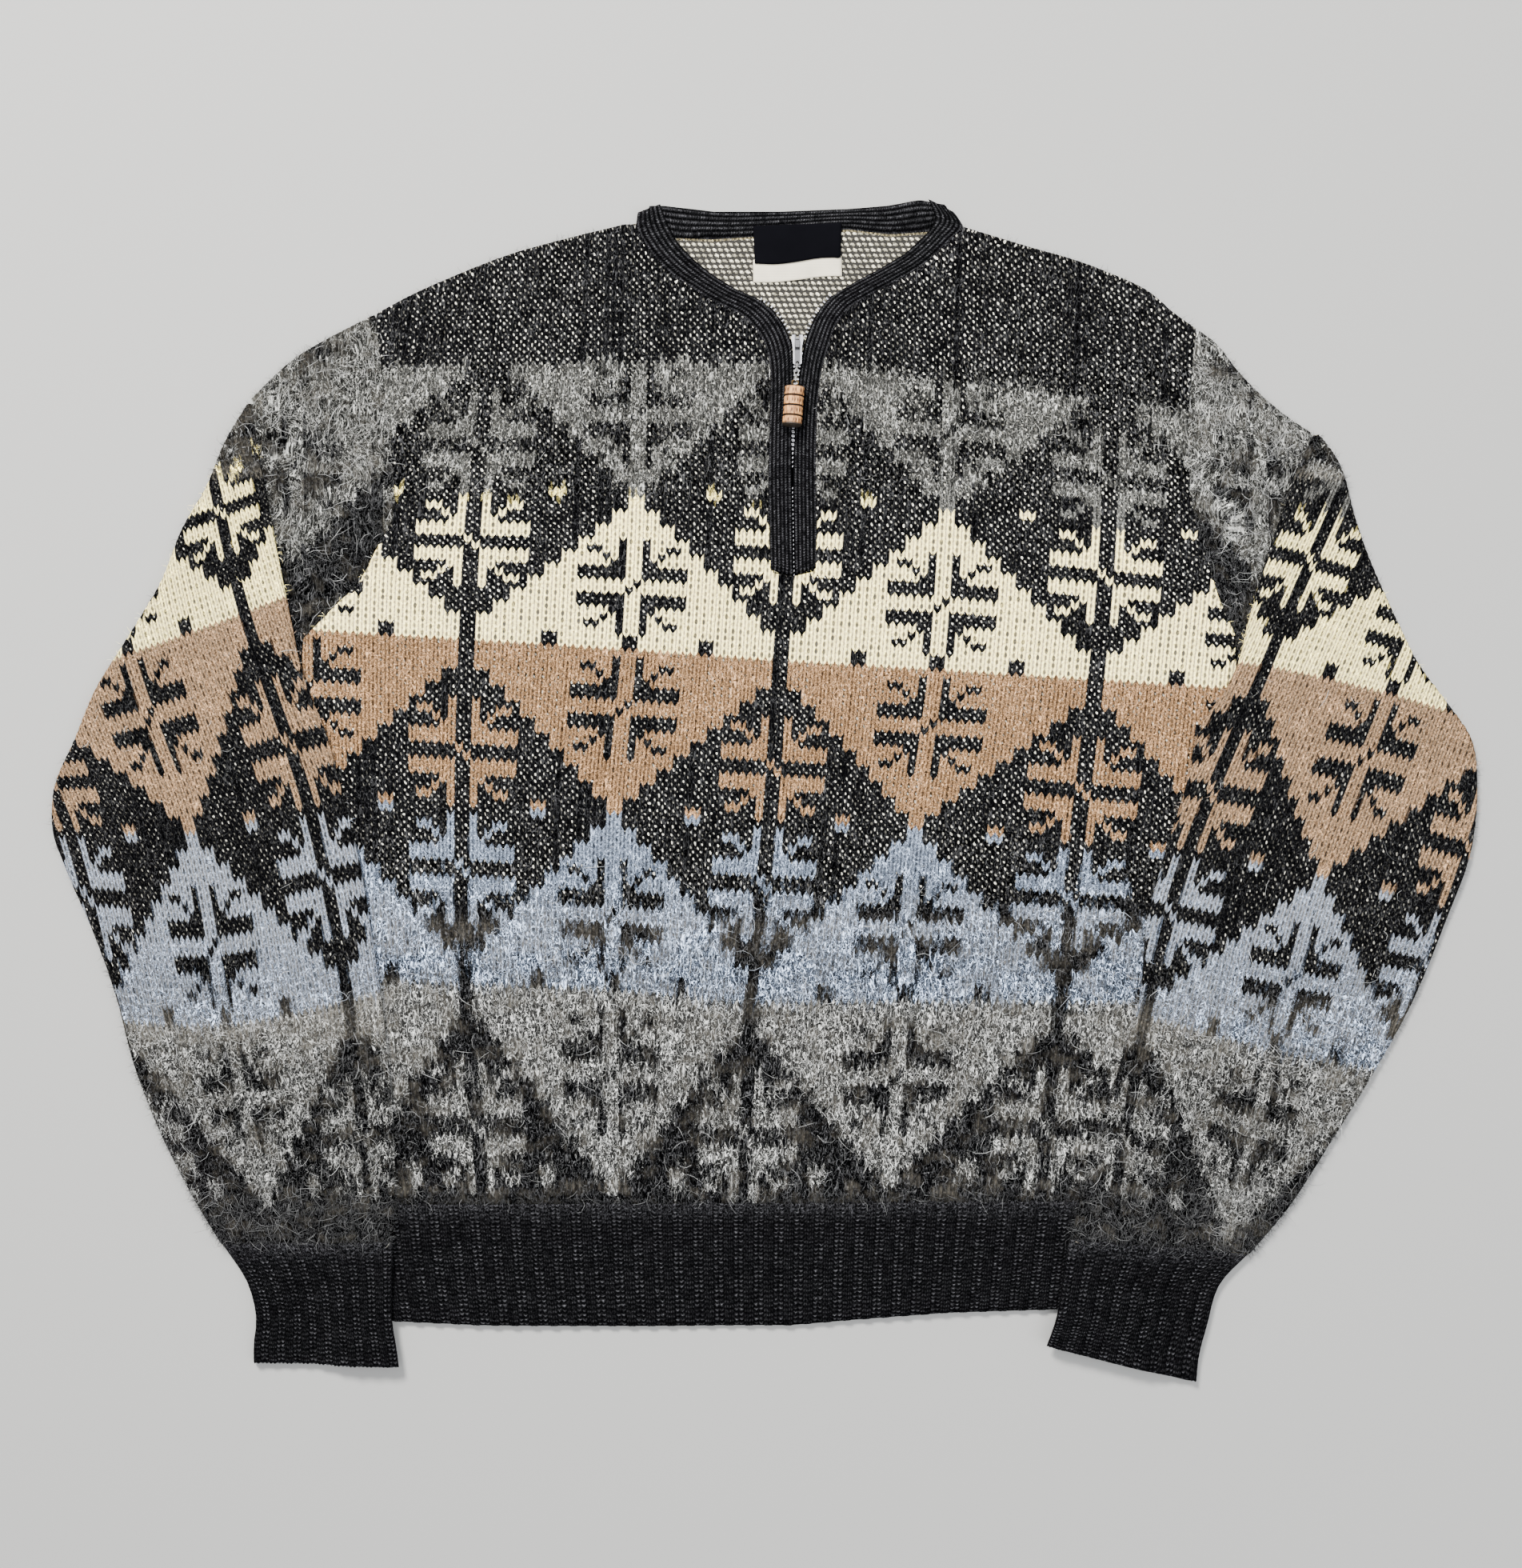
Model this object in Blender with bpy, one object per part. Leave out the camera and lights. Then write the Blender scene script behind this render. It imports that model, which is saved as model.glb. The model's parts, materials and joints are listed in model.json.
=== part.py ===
"""Mohair sweater laid flat: half-zip pullover with long sleeves folded down over its sides.

All sizes are in millimetres and are turned into metres when a mesh is made.
+X is to the right as seen from above, +Y points to the neck, +Z is up, and the
floor is z = 0. "Left" and "right" are as seen from above.
"""
import math
from collections import namedtuple

import bmesh
import bpy
from mathutils import Matrix, Vector

MM = 0.001

# ---------------------------------------------------------------- driving dimensions
WALL = 2.6                      # mohair knit
SEAM = 0.3                      # gap between two pieces that are sewn together
LAYER = 0.5                     # gap between two layers that lie on each other
RIB_WALL = 2.0                  # ribbed knit between its ribs
RIB_RISE = 1.0                  # height of a hem or cuff rib
BAND_WALL = 2.3                 # neckband and placket band
BAND_RISE = 0.6                 # height of a fine band rib
TAPE_WALL = 0.7                 # zip tape
LABEL_WALL = 0.6

BACK_TOP = WALL
FRONT_INNER = BACK_TOP + LAYER
FRONT_TOP = FRONT_INNER + WALL
BAND_INNER = BACK_TOP + SEAM + TAPE_WALL + SEAM
BAND_TOP = BAND_INNER + BAND_WALL + BAND_RISE
TUBE_HEIGHT = 2 * WALL + LAYER
ROUNDING = 1.2                  # width over which a folded edge turns
FOLD_INSET = 4.0                # a flattened tube has its full height this far in

HEM_RIBS = 38
CUFF_RIBS = 9
BAND_RIBS = 6
COLUMNS_PANEL = 6               # cells between a side edge and the zip opening
COLUMNS_SLEEVE = 8              # cells across a sleeve between its folded edges
PLEAT_RISE = 4.6                # height of the folded pleat that starts at each underarm
BRIDGE_FULL = 24.0              # a sleeve keeps the body's height this far past its side edge
BRIDGE_END = 42.0               # and is down on the floor from here on

SleeveRow = namedtuple("SleeveRow", "outer_x outer_y inner_x inner_y lift bow pleat")
BodyRow = namedtuple("BodyRow", "left_x left_y right_x right_y")
BandRow = namedtuple("BandRow", "outer_x outer_y inner_x inner_y")

# The sleeves from the armhole to the cuff: the folded outer and inner edges, how far the
# inner edge is lifted on to the body, the bow of the row, and the height of the pleat.
LEFT_SLEEVE = [
    SleeveRow(-234.0, 284.5, -276.5, 91.0, 0.0, 1.00, 0.0),
    SleeveRow(-248.0, 277.5, -277.2, 90.0, 0.0, 0.75, 0.0),
    SleeveRow(-265.0, 268.5, -277.5, 89.0, 0.0, 0.50, 0.0),
    SleeveRow(-282.0, 258.0, -278.5, 88.0, 0.0, 0.32, 0.0),
    SleeveRow(-296.0, 245.5, -279.2, 87.0, 0.0, 0.18, 0.0),
    SleeveRow(-310.0, 230.5, -279.9, 86.0, 0.0, 0.06, 0.0),
    SleeveRow(-312.0, 228.0, -280.5, 84.5, 0.4, 0.04, 1.0),
    SleeveRow(-323.0, 207.5, -281.0, 82.5, 1.4, 0.0, 0.8),
    SleeveRow(-334.5, 181.5, -281.3, 80.5, 2.6, 0.0, 0.6),
    SleeveRow(-348.5, 157.5, -281.3, 78.5, 3.8, 0.0, 0.4),
    SleeveRow(-361.5, 125.0, -281.0, 76.0, 5.0, 0.0, 0.2),
    SleeveRow(-375.0, 102.0, -280.0, 73.0, 6.1, 0.0, 0.1),
    SleeveRow(-387.0, 83.0, -276.5, 68.0, 6.1, 0.0, 0.0),
    SleeveRow(-400.0, 62.0, -272.0, 60.0, 6.1, 0.0, 0.0),
    SleeveRow(-413.5, 30.0, -263.5, 40.0, 6.1, 0.0, 0.0),
    SleeveRow(-425.5, 1.5, -253.5, 6.0, 6.1, 0.0, 0.0),
    SleeveRow(-426.5, -22.5, -246.0, -22.5, 6.1, 0.0, 0.0),
    SleeveRow(-416.5, -51.5, -240.0, -49.0, 6.1, 0.0, 0.0),
    SleeveRow(-403.0, -82.5, -235.0, -80.0, 6.1, 0.0, 0.0),
    SleeveRow(-389.0, -121.0, -229.0, -118.5, 6.1, 0.0, 0.0),
    SleeveRow(-377.5, -164.0, -224.0, -164.0, 6.1, 0.0, 0.0),
    SleeveRow(-361.0, -206.5, -221.0, -202.5, 6.1, 0.0, 0.0),
    SleeveRow(-343.5, -241.0, -220.0, -238.5, 6.5, 0.0, 0.0),
    SleeveRow(-325.0, -272.0, -221.5, -269.5, 7.0, 0.0, 0.0),
]
RIGHT_SLEEVE = [
    SleeveRow(258.5, 276.0, 281.5, 94.5, 0.0, 1.00, 0.0),
    SleeveRow(270.5, 267.0, 282.2, 93.5, 0.0, 0.75, 0.0),
    SleeveRow(282.5, 251.5, 282.8, 92.5, 0.0, 0.50, 0.0),
    SleeveRow(297.0, 236.5, 283.7, 91.5, 0.0, 0.30, 0.0),
    SleeveRow(311.5, 224.5, 284.5, 90.5, 0.0, 0.15, 0.0),
    SleeveRow(329.5, 211.5, 285.2, 89.5, 0.0, 0.05, 0.0),
    SleeveRow(331.5, 209.5, 285.8, 88.0, 0.4, 0.04, 1.0),
    SleeveRow(345.0, 192.5, 286.2, 86.0, 1.4, 0.0, 0.8),
    SleeveRow(353.5, 164.0, 286.3, 83.5, 2.6, 0.0, 0.6),
    SleeveRow(360.0, 144.5, 286.3, 81.0, 3.8, 0.0, 0.4),
    SleeveRow(370.0, 120.5, 286.0, 78.0, 5.0, 0.0, 0.2),
    SleeveRow(380.0, 99.0, 285.0, 74.0, 6.1, 0.0, 0.1),
    SleeveRow(391.5, 76.0, 281.0, 68.0, 6.1, 0.0, 0.0),
    SleeveRow(406.5, 55.5, 274.5, 60.0, 6.1, 0.0, 0.0),
    SleeveRow(423.5, 30.0, 261.0, 41.0, 6.1, 0.0, 0.0),
    SleeveRow(426.5, 1.5, 250.0, -1.0, 6.1, 0.0, 0.0),
    SleeveRow(422.5, -37.5, 238.0, -39.5, 6.1, 0.0, 0.0),
    SleeveRow(407.5, -78.5, 227.5, -80.0, 6.1, 0.0, 0.0),
    SleeveRow(388.0, -126.0, 223.5, -123.5, 6.1, 0.0, 0.0),
    SleeveRow(363.0, -171.5, 210.0, -169.0, 6.1, 0.0, 0.0),
    SleeveRow(338.0, -212.0, 200.0, -210.0, 6.1, 0.0, 0.0),
    SleeveRow(313.0, -250.5, 189.0, -241.0, 6.5, 0.0, 0.0),
    SleeveRow(290.0, -278.0, 182.0, -267.5, 7.0, 0.0, 0.0),
]
# The cuffs: the same folded edges, lifted on to the hem rib and down again past its edge.
LEFT_CUFF = [
    SleeveRow(-324.5, -272.4, -221.5, -269.9, 7.0, 0.0, 0.0),
    SleeveRow(-309.0, -296.5, -222.0, -294.0, 7.0, 0.0, 0.0),
    SleeveRow(-304.5, -318.5, -221.5, -321.0, 7.0, 0.0, 0.0),
    SleeveRow(-306.0, -331.0, -219.5, -332.0, 2.0, 0.0, 0.0),
    SleeveRow(-306.0, -342.5, -218.0, -343.5, 0.0, 0.0, 0.0),
]
RIGHT_CUFF = [
    SleeveRow(289.5, -278.4, 181.8, -267.9, 7.0, 0.0, 0.0),
    SleeveRow(272.0, -296.5, 177.5, -291.5, 7.0, 0.0, 0.0),
    SleeveRow(265.0, -320.0, 173.5, -315.5, 7.0, 0.0, 0.0),
    SleeveRow(260.0, -339.0, 170.5, -324.5, 2.0, 0.0, 0.0),
    SleeveRow(258.5, -354.0, 168.0, -331.0, 0.0, 0.0, 0.0),
]

# The armholes from the shoulder down to the underarm.
LEFT_ARMHOLE = [(-233.5, 284.5), (-230.5, 263.0), (-227.0, 234.0), (-223.5, 205.5), (-221.5, 181.5),
                (-222.0, 164.5), (-231.5, 146.0), (-242.0, 126.0), (-259.0, 108.5), (-276.0, 91.0)]
RIGHT_ARMHOLE = [(258.0, 276.0), (256.0, 256.0), (254.0, 234.0), (253.5, 191.0), (256.5, 167.0),
                 (260.5, 152.5), (265.5, 136.5), (270.5, 118.0), (276.0, 104.5), (281.0, 94.5)]

# The sides of the body from the underarm down to the hem rib, hidden below the sleeves.
SIDES = [
    BodyRow(-277.0, 76.0, 282.0, 76.0),
    BodyRow(-275.5, 42.0, 280.0, 42.0),
    BodyRow(-273.0, -6.0, 273.5, -6.0),
    BodyRow(-270.0, -54.0, 263.5, -54.0),
    BodyRow(-265.5, -102.0, 252.5, -102.0),
    BodyRow(-259.5, -150.0, 240.5, -150.0),
    BodyRow(-252.5, -202.5, 229.5, -202.5),
    BodyRow(-245.0, -248.0, 220.0, -246.0),
]
HEM_SIDES = [
    BodyRow(-244.5, -248.5, 219.5, -246.5),
    BodyRow(-240.0, -280.0, 214.5, -277.0),
    BodyRow(-234.0, -317.0, 209.5, -309.5),
]
HEM_EDGE = [(-234.0, -317.0), (-171.0, -320.0), (-75.0, -320.5), (15.5, -320.0), (49.5, -317.0),
            (107.5, -312.5), (209.5, -309.5)]

# The neckband and placket band from the shoulder down to the foot of the zip.
LEFT_BAND = [
    BandRow(-76.0, 345.5, -62.5, 350.5),
    BandRow(-77.0, 337.0, -59.5, 341.5),
    BandRow(-69.5, 322.5, -52.5, 328.0),
    BandRow(-57.5, 309.5, -42.0, 317.0),
    BandRow(-44.0, 300.0, -30.0, 307.5),
    BandRow(-28.0, 290.5, -17.5, 300.0),
    BandRow(-14.5, 283.5, -4.0, 294.0),
    BandRow(-6.0, 275.0, 5.0, 287.0),
    BandRow(0.0, 265.0, 10.5, 279.5),
    BandRow(2.5, 252.5, 15.5, 269.0),
    BandRow(3.0, 238.0, 17.0, 252.5),
    BandRow(2.5, 217.5, 16.3, 224.5),
    BandRow(2.0, 188.5, 16.0, 191.0),
    BandRow(2.5, 160.0, 16.4, 160.0),
    BandRow(3.0, 132.0, 17.0, 128.5),
]
RIGHT_BAND = [
    BandRow(113.5, 345.5, 98.0, 353.5),
    BandRow(119.0, 337.0, 102.5, 342.5),
    BandRow(110.0, 327.5, 97.5, 333.5),
    BandRow(96.0, 314.5, 84.0, 321.0),
    BandRow(78.5, 304.0, 68.0, 311.5),
    BandRow(62.0, 295.0, 53.0, 303.5),
    BandRow(50.0, 287.0, 40.0, 295.5),
    BandRow(42.5, 276.5, 32.0, 286.0),
    BandRow(38.5, 264.0, 27.5, 277.0),
    BandRow(35.0, 252.0, 24.0, 266.0),
    BandRow(33.0, 238.0, 21.5, 252.5),
    BandRow(31.5, 217.5, 18.4, 224.5),
    BandRow(31.0, 188.5, 17.4, 191.0),
    BandRow(31.5, 160.0, 17.6, 160.0),
    BandRow(31.5, 133.0, 18.2, 128.5),
]
BACK_BAND = [
    BandRow(-69.0, 350.5, -73.5, 339.0),
    BandRow(-60.5, 350.5, -58.0, 330.0),
    BandRow(-30.5, 347.0, -31.5, 329.0),
    BandRow(9.5, 347.0, 9.0, 331.5),
    BandRow(50.0, 348.5, 50.0, 335.0),
    BandRow(74.0, 350.5, 75.0, 332.0),
    BandRow(93.0, 354.0, 97.0, 333.5),
    BandRow(108.5, 351.0, 114.0, 339.5),
]
FIRST_PANEL_ROW = 1             # the panels reach the bands from this band row down
SHOULDER_BOW = 7.5              # the shoulder lines rise this much above a straight line

# ---------------------------------------------------------------- zip pull
PULL_X = 19.5                   # centre line of the slider and its tab
HINGE_Y = 266.0
HINGE_Z = 7.8
SLIDER_TOP_Y = 272.0
SLIDER_FOOT_Y = 262.5
SLIDER_HORNS = 7.3
SLIDER_FOOT = 5.2
SLIDER_LOW = BACK_TOP + SEAM + TAPE_WALL + SEAM
SLIDER_HIGH = 6.7
TAB_WIDTH = 5.2
TAB_WALL = 0.9
TAB_LENGTH = 12.4               # from the hinge to the tab's end
TAB_HOLE = 11.0                 # from the hinge to the hole for the chain
HOLE_RADIUS = 1.0
BRIDGE_WIDTH = 2.4
BEAD_RADIUS = 5.8
BEAD_LENGTH = 23.6
BEAD_TOP = (17.9, 240.0)
BEAD_LEAN = math.radians(4.3)   # the bead hangs a little to the left
BEAD_Z = BAND_TOP + SEAM + BEAD_RADIUS
EYE_RADIUS = 1.95
EYE_WIRE = 0.4
EYE_TILT = math.radians(30)     # the eye droops towards the tab
LINK_SLOPES = (6.0, 18.0, 18.0)  # degrees above level, from the tab to the eye
LINK_LENGTH = 5.3
LINK_WIDTH = 3.2
LINK_WIRE = 0.35
LINK_HOLD = 0.82                # how far one link reaches back into the last one

COLOURS = {
    "mohair": ((0.075, 0.075, 0.08), 0.95, 0.0),
    "rib": ((0.016, 0.016, 0.019), 0.9, 0.0),
    "tape": ((0.02, 0.02, 0.022), 0.85, 0.0),
    "metal": ((0.62, 0.62, 0.6), 0.35, 1.0),
    "wood": ((0.5, 0.27, 0.14), 0.6, 0.0),
    "label_black": ((0.015, 0.015, 0.018), 0.6, 0.0),
    "label_white": ((0.8, 0.78, 0.7), 0.7, 0.0),
}


# ---------------------------------------------------------------- helpers
def lerp(a, b, t):
    return a + (b - a) * t


def smooth(t):
    """Soft step from 0 to 1."""
    t = min(max(t, 0.0), 1.0)
    return t * t * (3.0 - 2.0 * t)


def along(points, t):
    """Point at the fraction t of the length of a polyline."""
    lengths = [math.dist(a, b) for a, b in zip(points, points[1:])]
    left = t * sum(lengths)
    for a, b, length in zip(points, points[1:], lengths):
        if left <= length:
            return tuple(lerp(p, q, left / length) for p, q in zip(a, b))
        left -= length
    return points[-1]


def column_fractions(width):
    """Fractions across a flattened tube: close together at its folded edges."""
    edge = [0.0, ROUNDING / width, FOLD_INSET / width]
    evenly = [lerp(edge[2], 1 - edge[2], k / COLUMNS_SLEEVE) for k in range(1, COLUMNS_SLEEVE)]
    return edge + evenly + [1 - t for t in reversed(edge)]


def armhole_point(armhole, t):
    """Point of the armhole seam, straight between the columns of the sleeve."""
    stops = column_fractions(math.dist(armhole[0], armhole[-1]))
    for a, b in zip(stops, stops[1:]):
        if t <= b:
            p, q = along(armhole, a), along(armhole, b)
            u = (t - a) / (b - a)
            return (lerp(p[0], q[0], u), lerp(p[1], q[1], u))
    return armhole[-1]


def x_at(points, y):
    """x of a polyline that runs down in y."""
    for (xa, ya), (xb, yb) in zip(points, points[1:]):
        if y >= yb:
            return lerp(xa, xb, (ya - y) / (ya - yb))
    return points[-1][0]


def material(slot):
    found = bpy.data.materials.get(slot)
    if found:
        return found
    colour, roughness, metallic = COLOURS[slot]
    made = bpy.data.materials.new(slot)
    made.use_nodes = True
    shader = made.node_tree.nodes["Principled BSDF"]
    shader.inputs["Base Color"].default_value = (*colour, 1.0)
    shader.inputs["Roughness"].default_value = roughness
    shader.inputs["Metallic"].default_value = metallic
    made.diffuse_color = (*colour, 1.0)
    return made


def add_object(name, bm, slot, collection, smooth_shading=True):
    bmesh.ops.recalc_face_normals(bm, faces=bm.faces)
    mesh = bpy.data.meshes.new(name)
    bm.to_mesh(mesh)
    bm.free()
    mesh.materials.append(material(slot))
    if smooth_shading:
        mesh.shade_smooth()
        mesh.set_sharp_from_angle(angle=math.radians(40))
    made = bpy.data.objects.new(name, mesh)
    collection.objects.link(made)
    return made


def cloth_wall(name, top, bottom, slot, collection, keep=lambda row, column: True):
    """Closed wall between two grids of points; keep() says which cells it has."""
    bm = bmesh.new()
    made = {}

    def vertex(layer, row, column):
        key = (layer, row, column)
        if key not in made:
            x, y, z = (top if layer else bottom)[row][column]
            made[key] = bm.verts.new((x * MM, y * MM, z * MM))
        return made[key]

    border = {}
    for row in range(len(top) - 1):
        for column in range(len(top[0]) - 1):
            if not keep(row, column):
                continue
            corners = [(row, column), (row, column + 1), (row + 1, column + 1), (row + 1, column)]
            bm.faces.new([vertex(1, *c) for c in corners])
            bm.faces.new([vertex(0, *c) for c in reversed(corners)])
            for a, b in zip(corners, corners[1:] + corners[:1]):
                if (b, a) in border:
                    del border[(b, a)]
                else:
                    border[(a, b)] = True
    for a, b in border:
        bm.faces.new([vertex(1, *b), vertex(1, *a), vertex(0, *a), vertex(0, *b)])
    bmesh.ops.triangulate(bm, faces=bm.faces)
    return add_object(name, bm, slot, collection)


def cloth_tube(name, outer, inner, slot, collection):
    """Closed tube wall between two stacks of rings with as many points each."""
    bm = bmesh.new()
    rings = [[bm.verts.new(Vector(p) * MM) for p in ring] for ring in outer + inner[::-1]]
    rings.append(rings[0])
    for here, there in zip(rings, rings[1:]):
        for j in range(len(here)):
            k = (j + 1) % len(here)
            bm.faces.new([here[j], here[k], there[k], there[j]])
    bmesh.ops.triangulate(bm, faces=bm.faces)
    return add_object(name, bm, slot, collection)


def rib_columns(ribs):
    """Fractions across a ribbed piece with the height of the rib there, from 0 to 1."""
    columns = [(0.0, 0.0)]
    for rib in range(ribs):
        columns += [((rib + 0.25) / ribs, 1.0), ((rib + 0.7) / ribs, 1.0), ((rib + 1.0) / ribs, 0.0)]
    return columns


# ---------------------------------------------------------------- body panels
def side_curve(left):
    rows = [(r.left_x, r.left_y) if left else (r.right_x, r.right_y) for r in SIDES + HEM_SIDES[1:]]
    armhole = LEFT_ARMHOLE if left else RIGHT_ARMHOLE
    return [armhole[-1]] + rows


def panel_rows(left_opening, right_opening, middle):
    """Rows of a body panel from the shoulder down, with the opening's edges in each row."""
    width = math.dist(LEFT_ARMHOLE[0], LEFT_ARMHOLE[-1])
    stops = [0.0] + column_fractions(width)[3:-3] + [1.0]
    steps = [0.0]
    for a, b in zip(stops, stops[1:]):
        steps += [0.5 * (a + b), b]
    rows = []
    for k, t in enumerate(steps):
        y = left_opening[-1][1] - 17.0 * (k - len(left_opening) + 1)
        a = left_opening[k] if k < len(left_opening) else (left_opening[-1][0], y)
        b = right_opening[k] if k < len(right_opening) else (right_opening[-1][0], y)
        rows.append((armhole_point(LEFT_ARMHOLE, t), a, b, armhole_point(RIGHT_ARMHOLE, t)))
    for r in SIDES:
        y = 0.5 * (r.left_y + r.right_y) - (14.0 if r is SIDES[0] else 0.0)
        rows.append(((r.left_x, r.left_y), (left_opening[-1][0], y), (right_opening[-1][0], y),
                     (r.right_x, r.right_y)))
    grid = []
    for k, (left, a, b, right) in enumerate(rows):
        bow = SHOULDER_BOW * max(0.0, 1.0 - k / 6.0) ** 2
        points = []
        for j in range(COLUMNS_PANEL):
            u = j / COLUMNS_PANEL
            points.append((lerp(left[0], a[0], u), lerp(left[1], a[1], u) + 4 * bow * u * (1 - u)))
        points.append(a)
        points.append(middle(k, a, b))
        for j in range(COLUMNS_PANEL + 1):
            u = j / COLUMNS_PANEL
            points.append((lerp(b[0], right[0], u), lerp(b[1], right[1], u) + 4 * bow * u * (1 - u)))
        points[0] = (points[0][0] + SEAM, points[0][1])
        points[-1] = (points[-1][0] - SEAM, points[-1][1])
        grid.append(points)
    return grid


def make_front(collection):
    left = [(r.outer_x - 1.3 * SEAM, r.outer_y) for r in LEFT_BAND[FIRST_PANEL_ROW:]]
    right = [(r.outer_x + 1.3 * SEAM, r.outer_y) for r in RIGHT_BAND[FIRST_PANEL_ROW:]]
    left[-1] = (left[-1][0], left[-1][1] - SEAM)
    right[-1] = (right[-1][0], right[-1][1] - SEAM)
    foot = len(left) - 1

    def middle(k, a, b):
        dip = 4.3 if k == foot else 0.0
        return (0.5 * (a[0] + b[0]), 0.5 * (a[1] + b[1]) - dip)

    grid = panel_rows(left, right, middle)
    gap = (COLUMNS_PANEL, COLUMNS_PANEL + 1)
    top = [[(x, y, FRONT_TOP - (1.0 if k == 0 else 0.0)) for x, y in row] for k, row in enumerate(grid)]
    bottom = [[(x, y, FRONT_INNER) for x, y in row] for row in grid]
    return cloth_wall("front_panel", top, bottom, "mohair", collection,
                      lambda row, column: column not in gap or row >= foot)


def make_back(collection):
    edge = [(r.inner_x, r.inner_y - SEAM) for r in BACK_BAND]
    below = [312.0 - 12.0 * k for k in range(12)]
    neck_left = [edge[0], (-66.0, 325.0)] + [(-58.0, y) for y in below]
    neck_right = [edge[-1], (108.0, 326.0)] + [(97.0, y) for y in below]
    grid = panel_rows(neck_left, neck_right, lambda k, a, b: a)
    first = COLUMNS_PANEL
    rows = []
    for k, row in enumerate(grid):
        a, b = row[first], row[first + 2]
        between = []
        for n in range(1, len(edge) - 1):
            u = n / (len(edge) - 1)
            x, y = (lerp(a[0], b[0], u), lerp(a[1], b[1], u))
            between.append(edge[n] if k == 0 else (x, min(y, 326.0 - 8.0 * k)))
        rows.append(row[:first + 1] + between + row[first + 2:])
    top = [[(x, y, BACK_TOP) for x, y in row] for row in rows]
    bottom = [[(x, y, 0.0) for x, y in row] for row in rows]
    return cloth_wall("back_panel", top, bottom, "mohair", collection)


# ---------------------------------------------------------------- ribbed hem and bands
def make_hem(collection):
    upper, middle, lower = HEM_SIDES
    columns = rib_columns(HEM_RIBS)

    def row(side, share):
        points = []
        for u, rise in columns:
            x = lerp(side.left_x, side.right_x, u)
            y = lerp(side.left_y, side.right_y, u)
            edge = along(HEM_EDGE, u)
            points.append((lerp(x, edge[0], share), lerp(y, edge[1], share), rise))
        return points

    rows = [row(upper, 0.0), row(middle, 0.0), row(lower, 1.0)]
    low = FRONT_INNER
    high = FRONT_INNER + RIB_WALL
    top = [[(x, y, high + RIB_RISE * rise) for x, y, rise in r] for r in rows]
    bottom = [[(x, y, low) for x, y, rise in r] for r in rows]
    cloth_wall("hem_rib_front", top, bottom, "rib", collection)
    plain = [[r[3 * n] for n in range(0, HEM_RIBS + 1, 2)] for r in rows]
    top = [[(x, y, BACK_TOP) for x, y, rise in r] for r in plain]
    bottom = [[(x, y, 0.0) for x, y, rise in r] for r in plain]
    cloth_wall("hem_rib_back", top, bottom, "rib", collection)


def make_band(name, rows, low, wall, collection):
    """Strip with fine ribs along its length and a plain inside."""
    columns = rib_columns(BAND_RIBS)
    top = []
    bottom = []
    for r in rows:
        points = [(lerp(r.outer_x, r.inner_x, u), lerp(r.outer_y, r.inner_y, u)) for u, rise in columns]
        top.append([(x, y, low + wall + BAND_RISE * rise) for (x, y), (u, rise) in zip(points, columns)])
        bottom.append([(x, y, low) for x, y in points])
    return cloth_wall(name, top, bottom, "rib", collection)


def make_tape(name, rows, shift, collection):
    """Zip tape below the inner edge of a band, a little proud of it."""
    width = 9.0
    top = []
    bottom = []
    for r in rows:
        across = Vector((r.outer_x - r.inner_x, r.outer_y - r.inner_y)).normalized()
        inner = Vector((r.inner_x + shift, r.inner_y))
        outer = Vector((r.inner_x, r.inner_y)) + across * width
        low = BACK_TOP + SEAM
        top.append([(inner.x, inner.y, low + TAPE_WALL), (outer.x, outer.y, low + TAPE_WALL)])
        bottom.append([(inner.x, inner.y, low), (outer.x, outer.y, low)])
    return cloth_wall(name, top, bottom, "tape", collection)


# ---------------------------------------------------------------- sleeves and cuffs
def row_point(row, armhole, t):
    """Plan point across a sleeve row, bowed like the armhole near the shoulder."""
    x = lerp(row.outer_x, row.inner_x, t)
    y = lerp(row.outer_y, row.inner_y, t)
    if row.bow:
        seam = armhole_point(armhole, t)
        x += row.bow * (seam[0] - lerp(armhole[0][0], armhole[-1][0], t))
        y += row.bow * (seam[1] - lerp(armhole[0][1], armhole[-1][1], t))
    return x, y


def step_height(row, x, y, side, sign):
    """Height of what the sleeve lies on: the floor, or the body at its side edge."""
    past = (x_at(side, y) - x) * sign
    return row.lift * smooth((BRIDGE_END - past) / (BRIDGE_END - BRIDGE_FULL))


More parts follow.
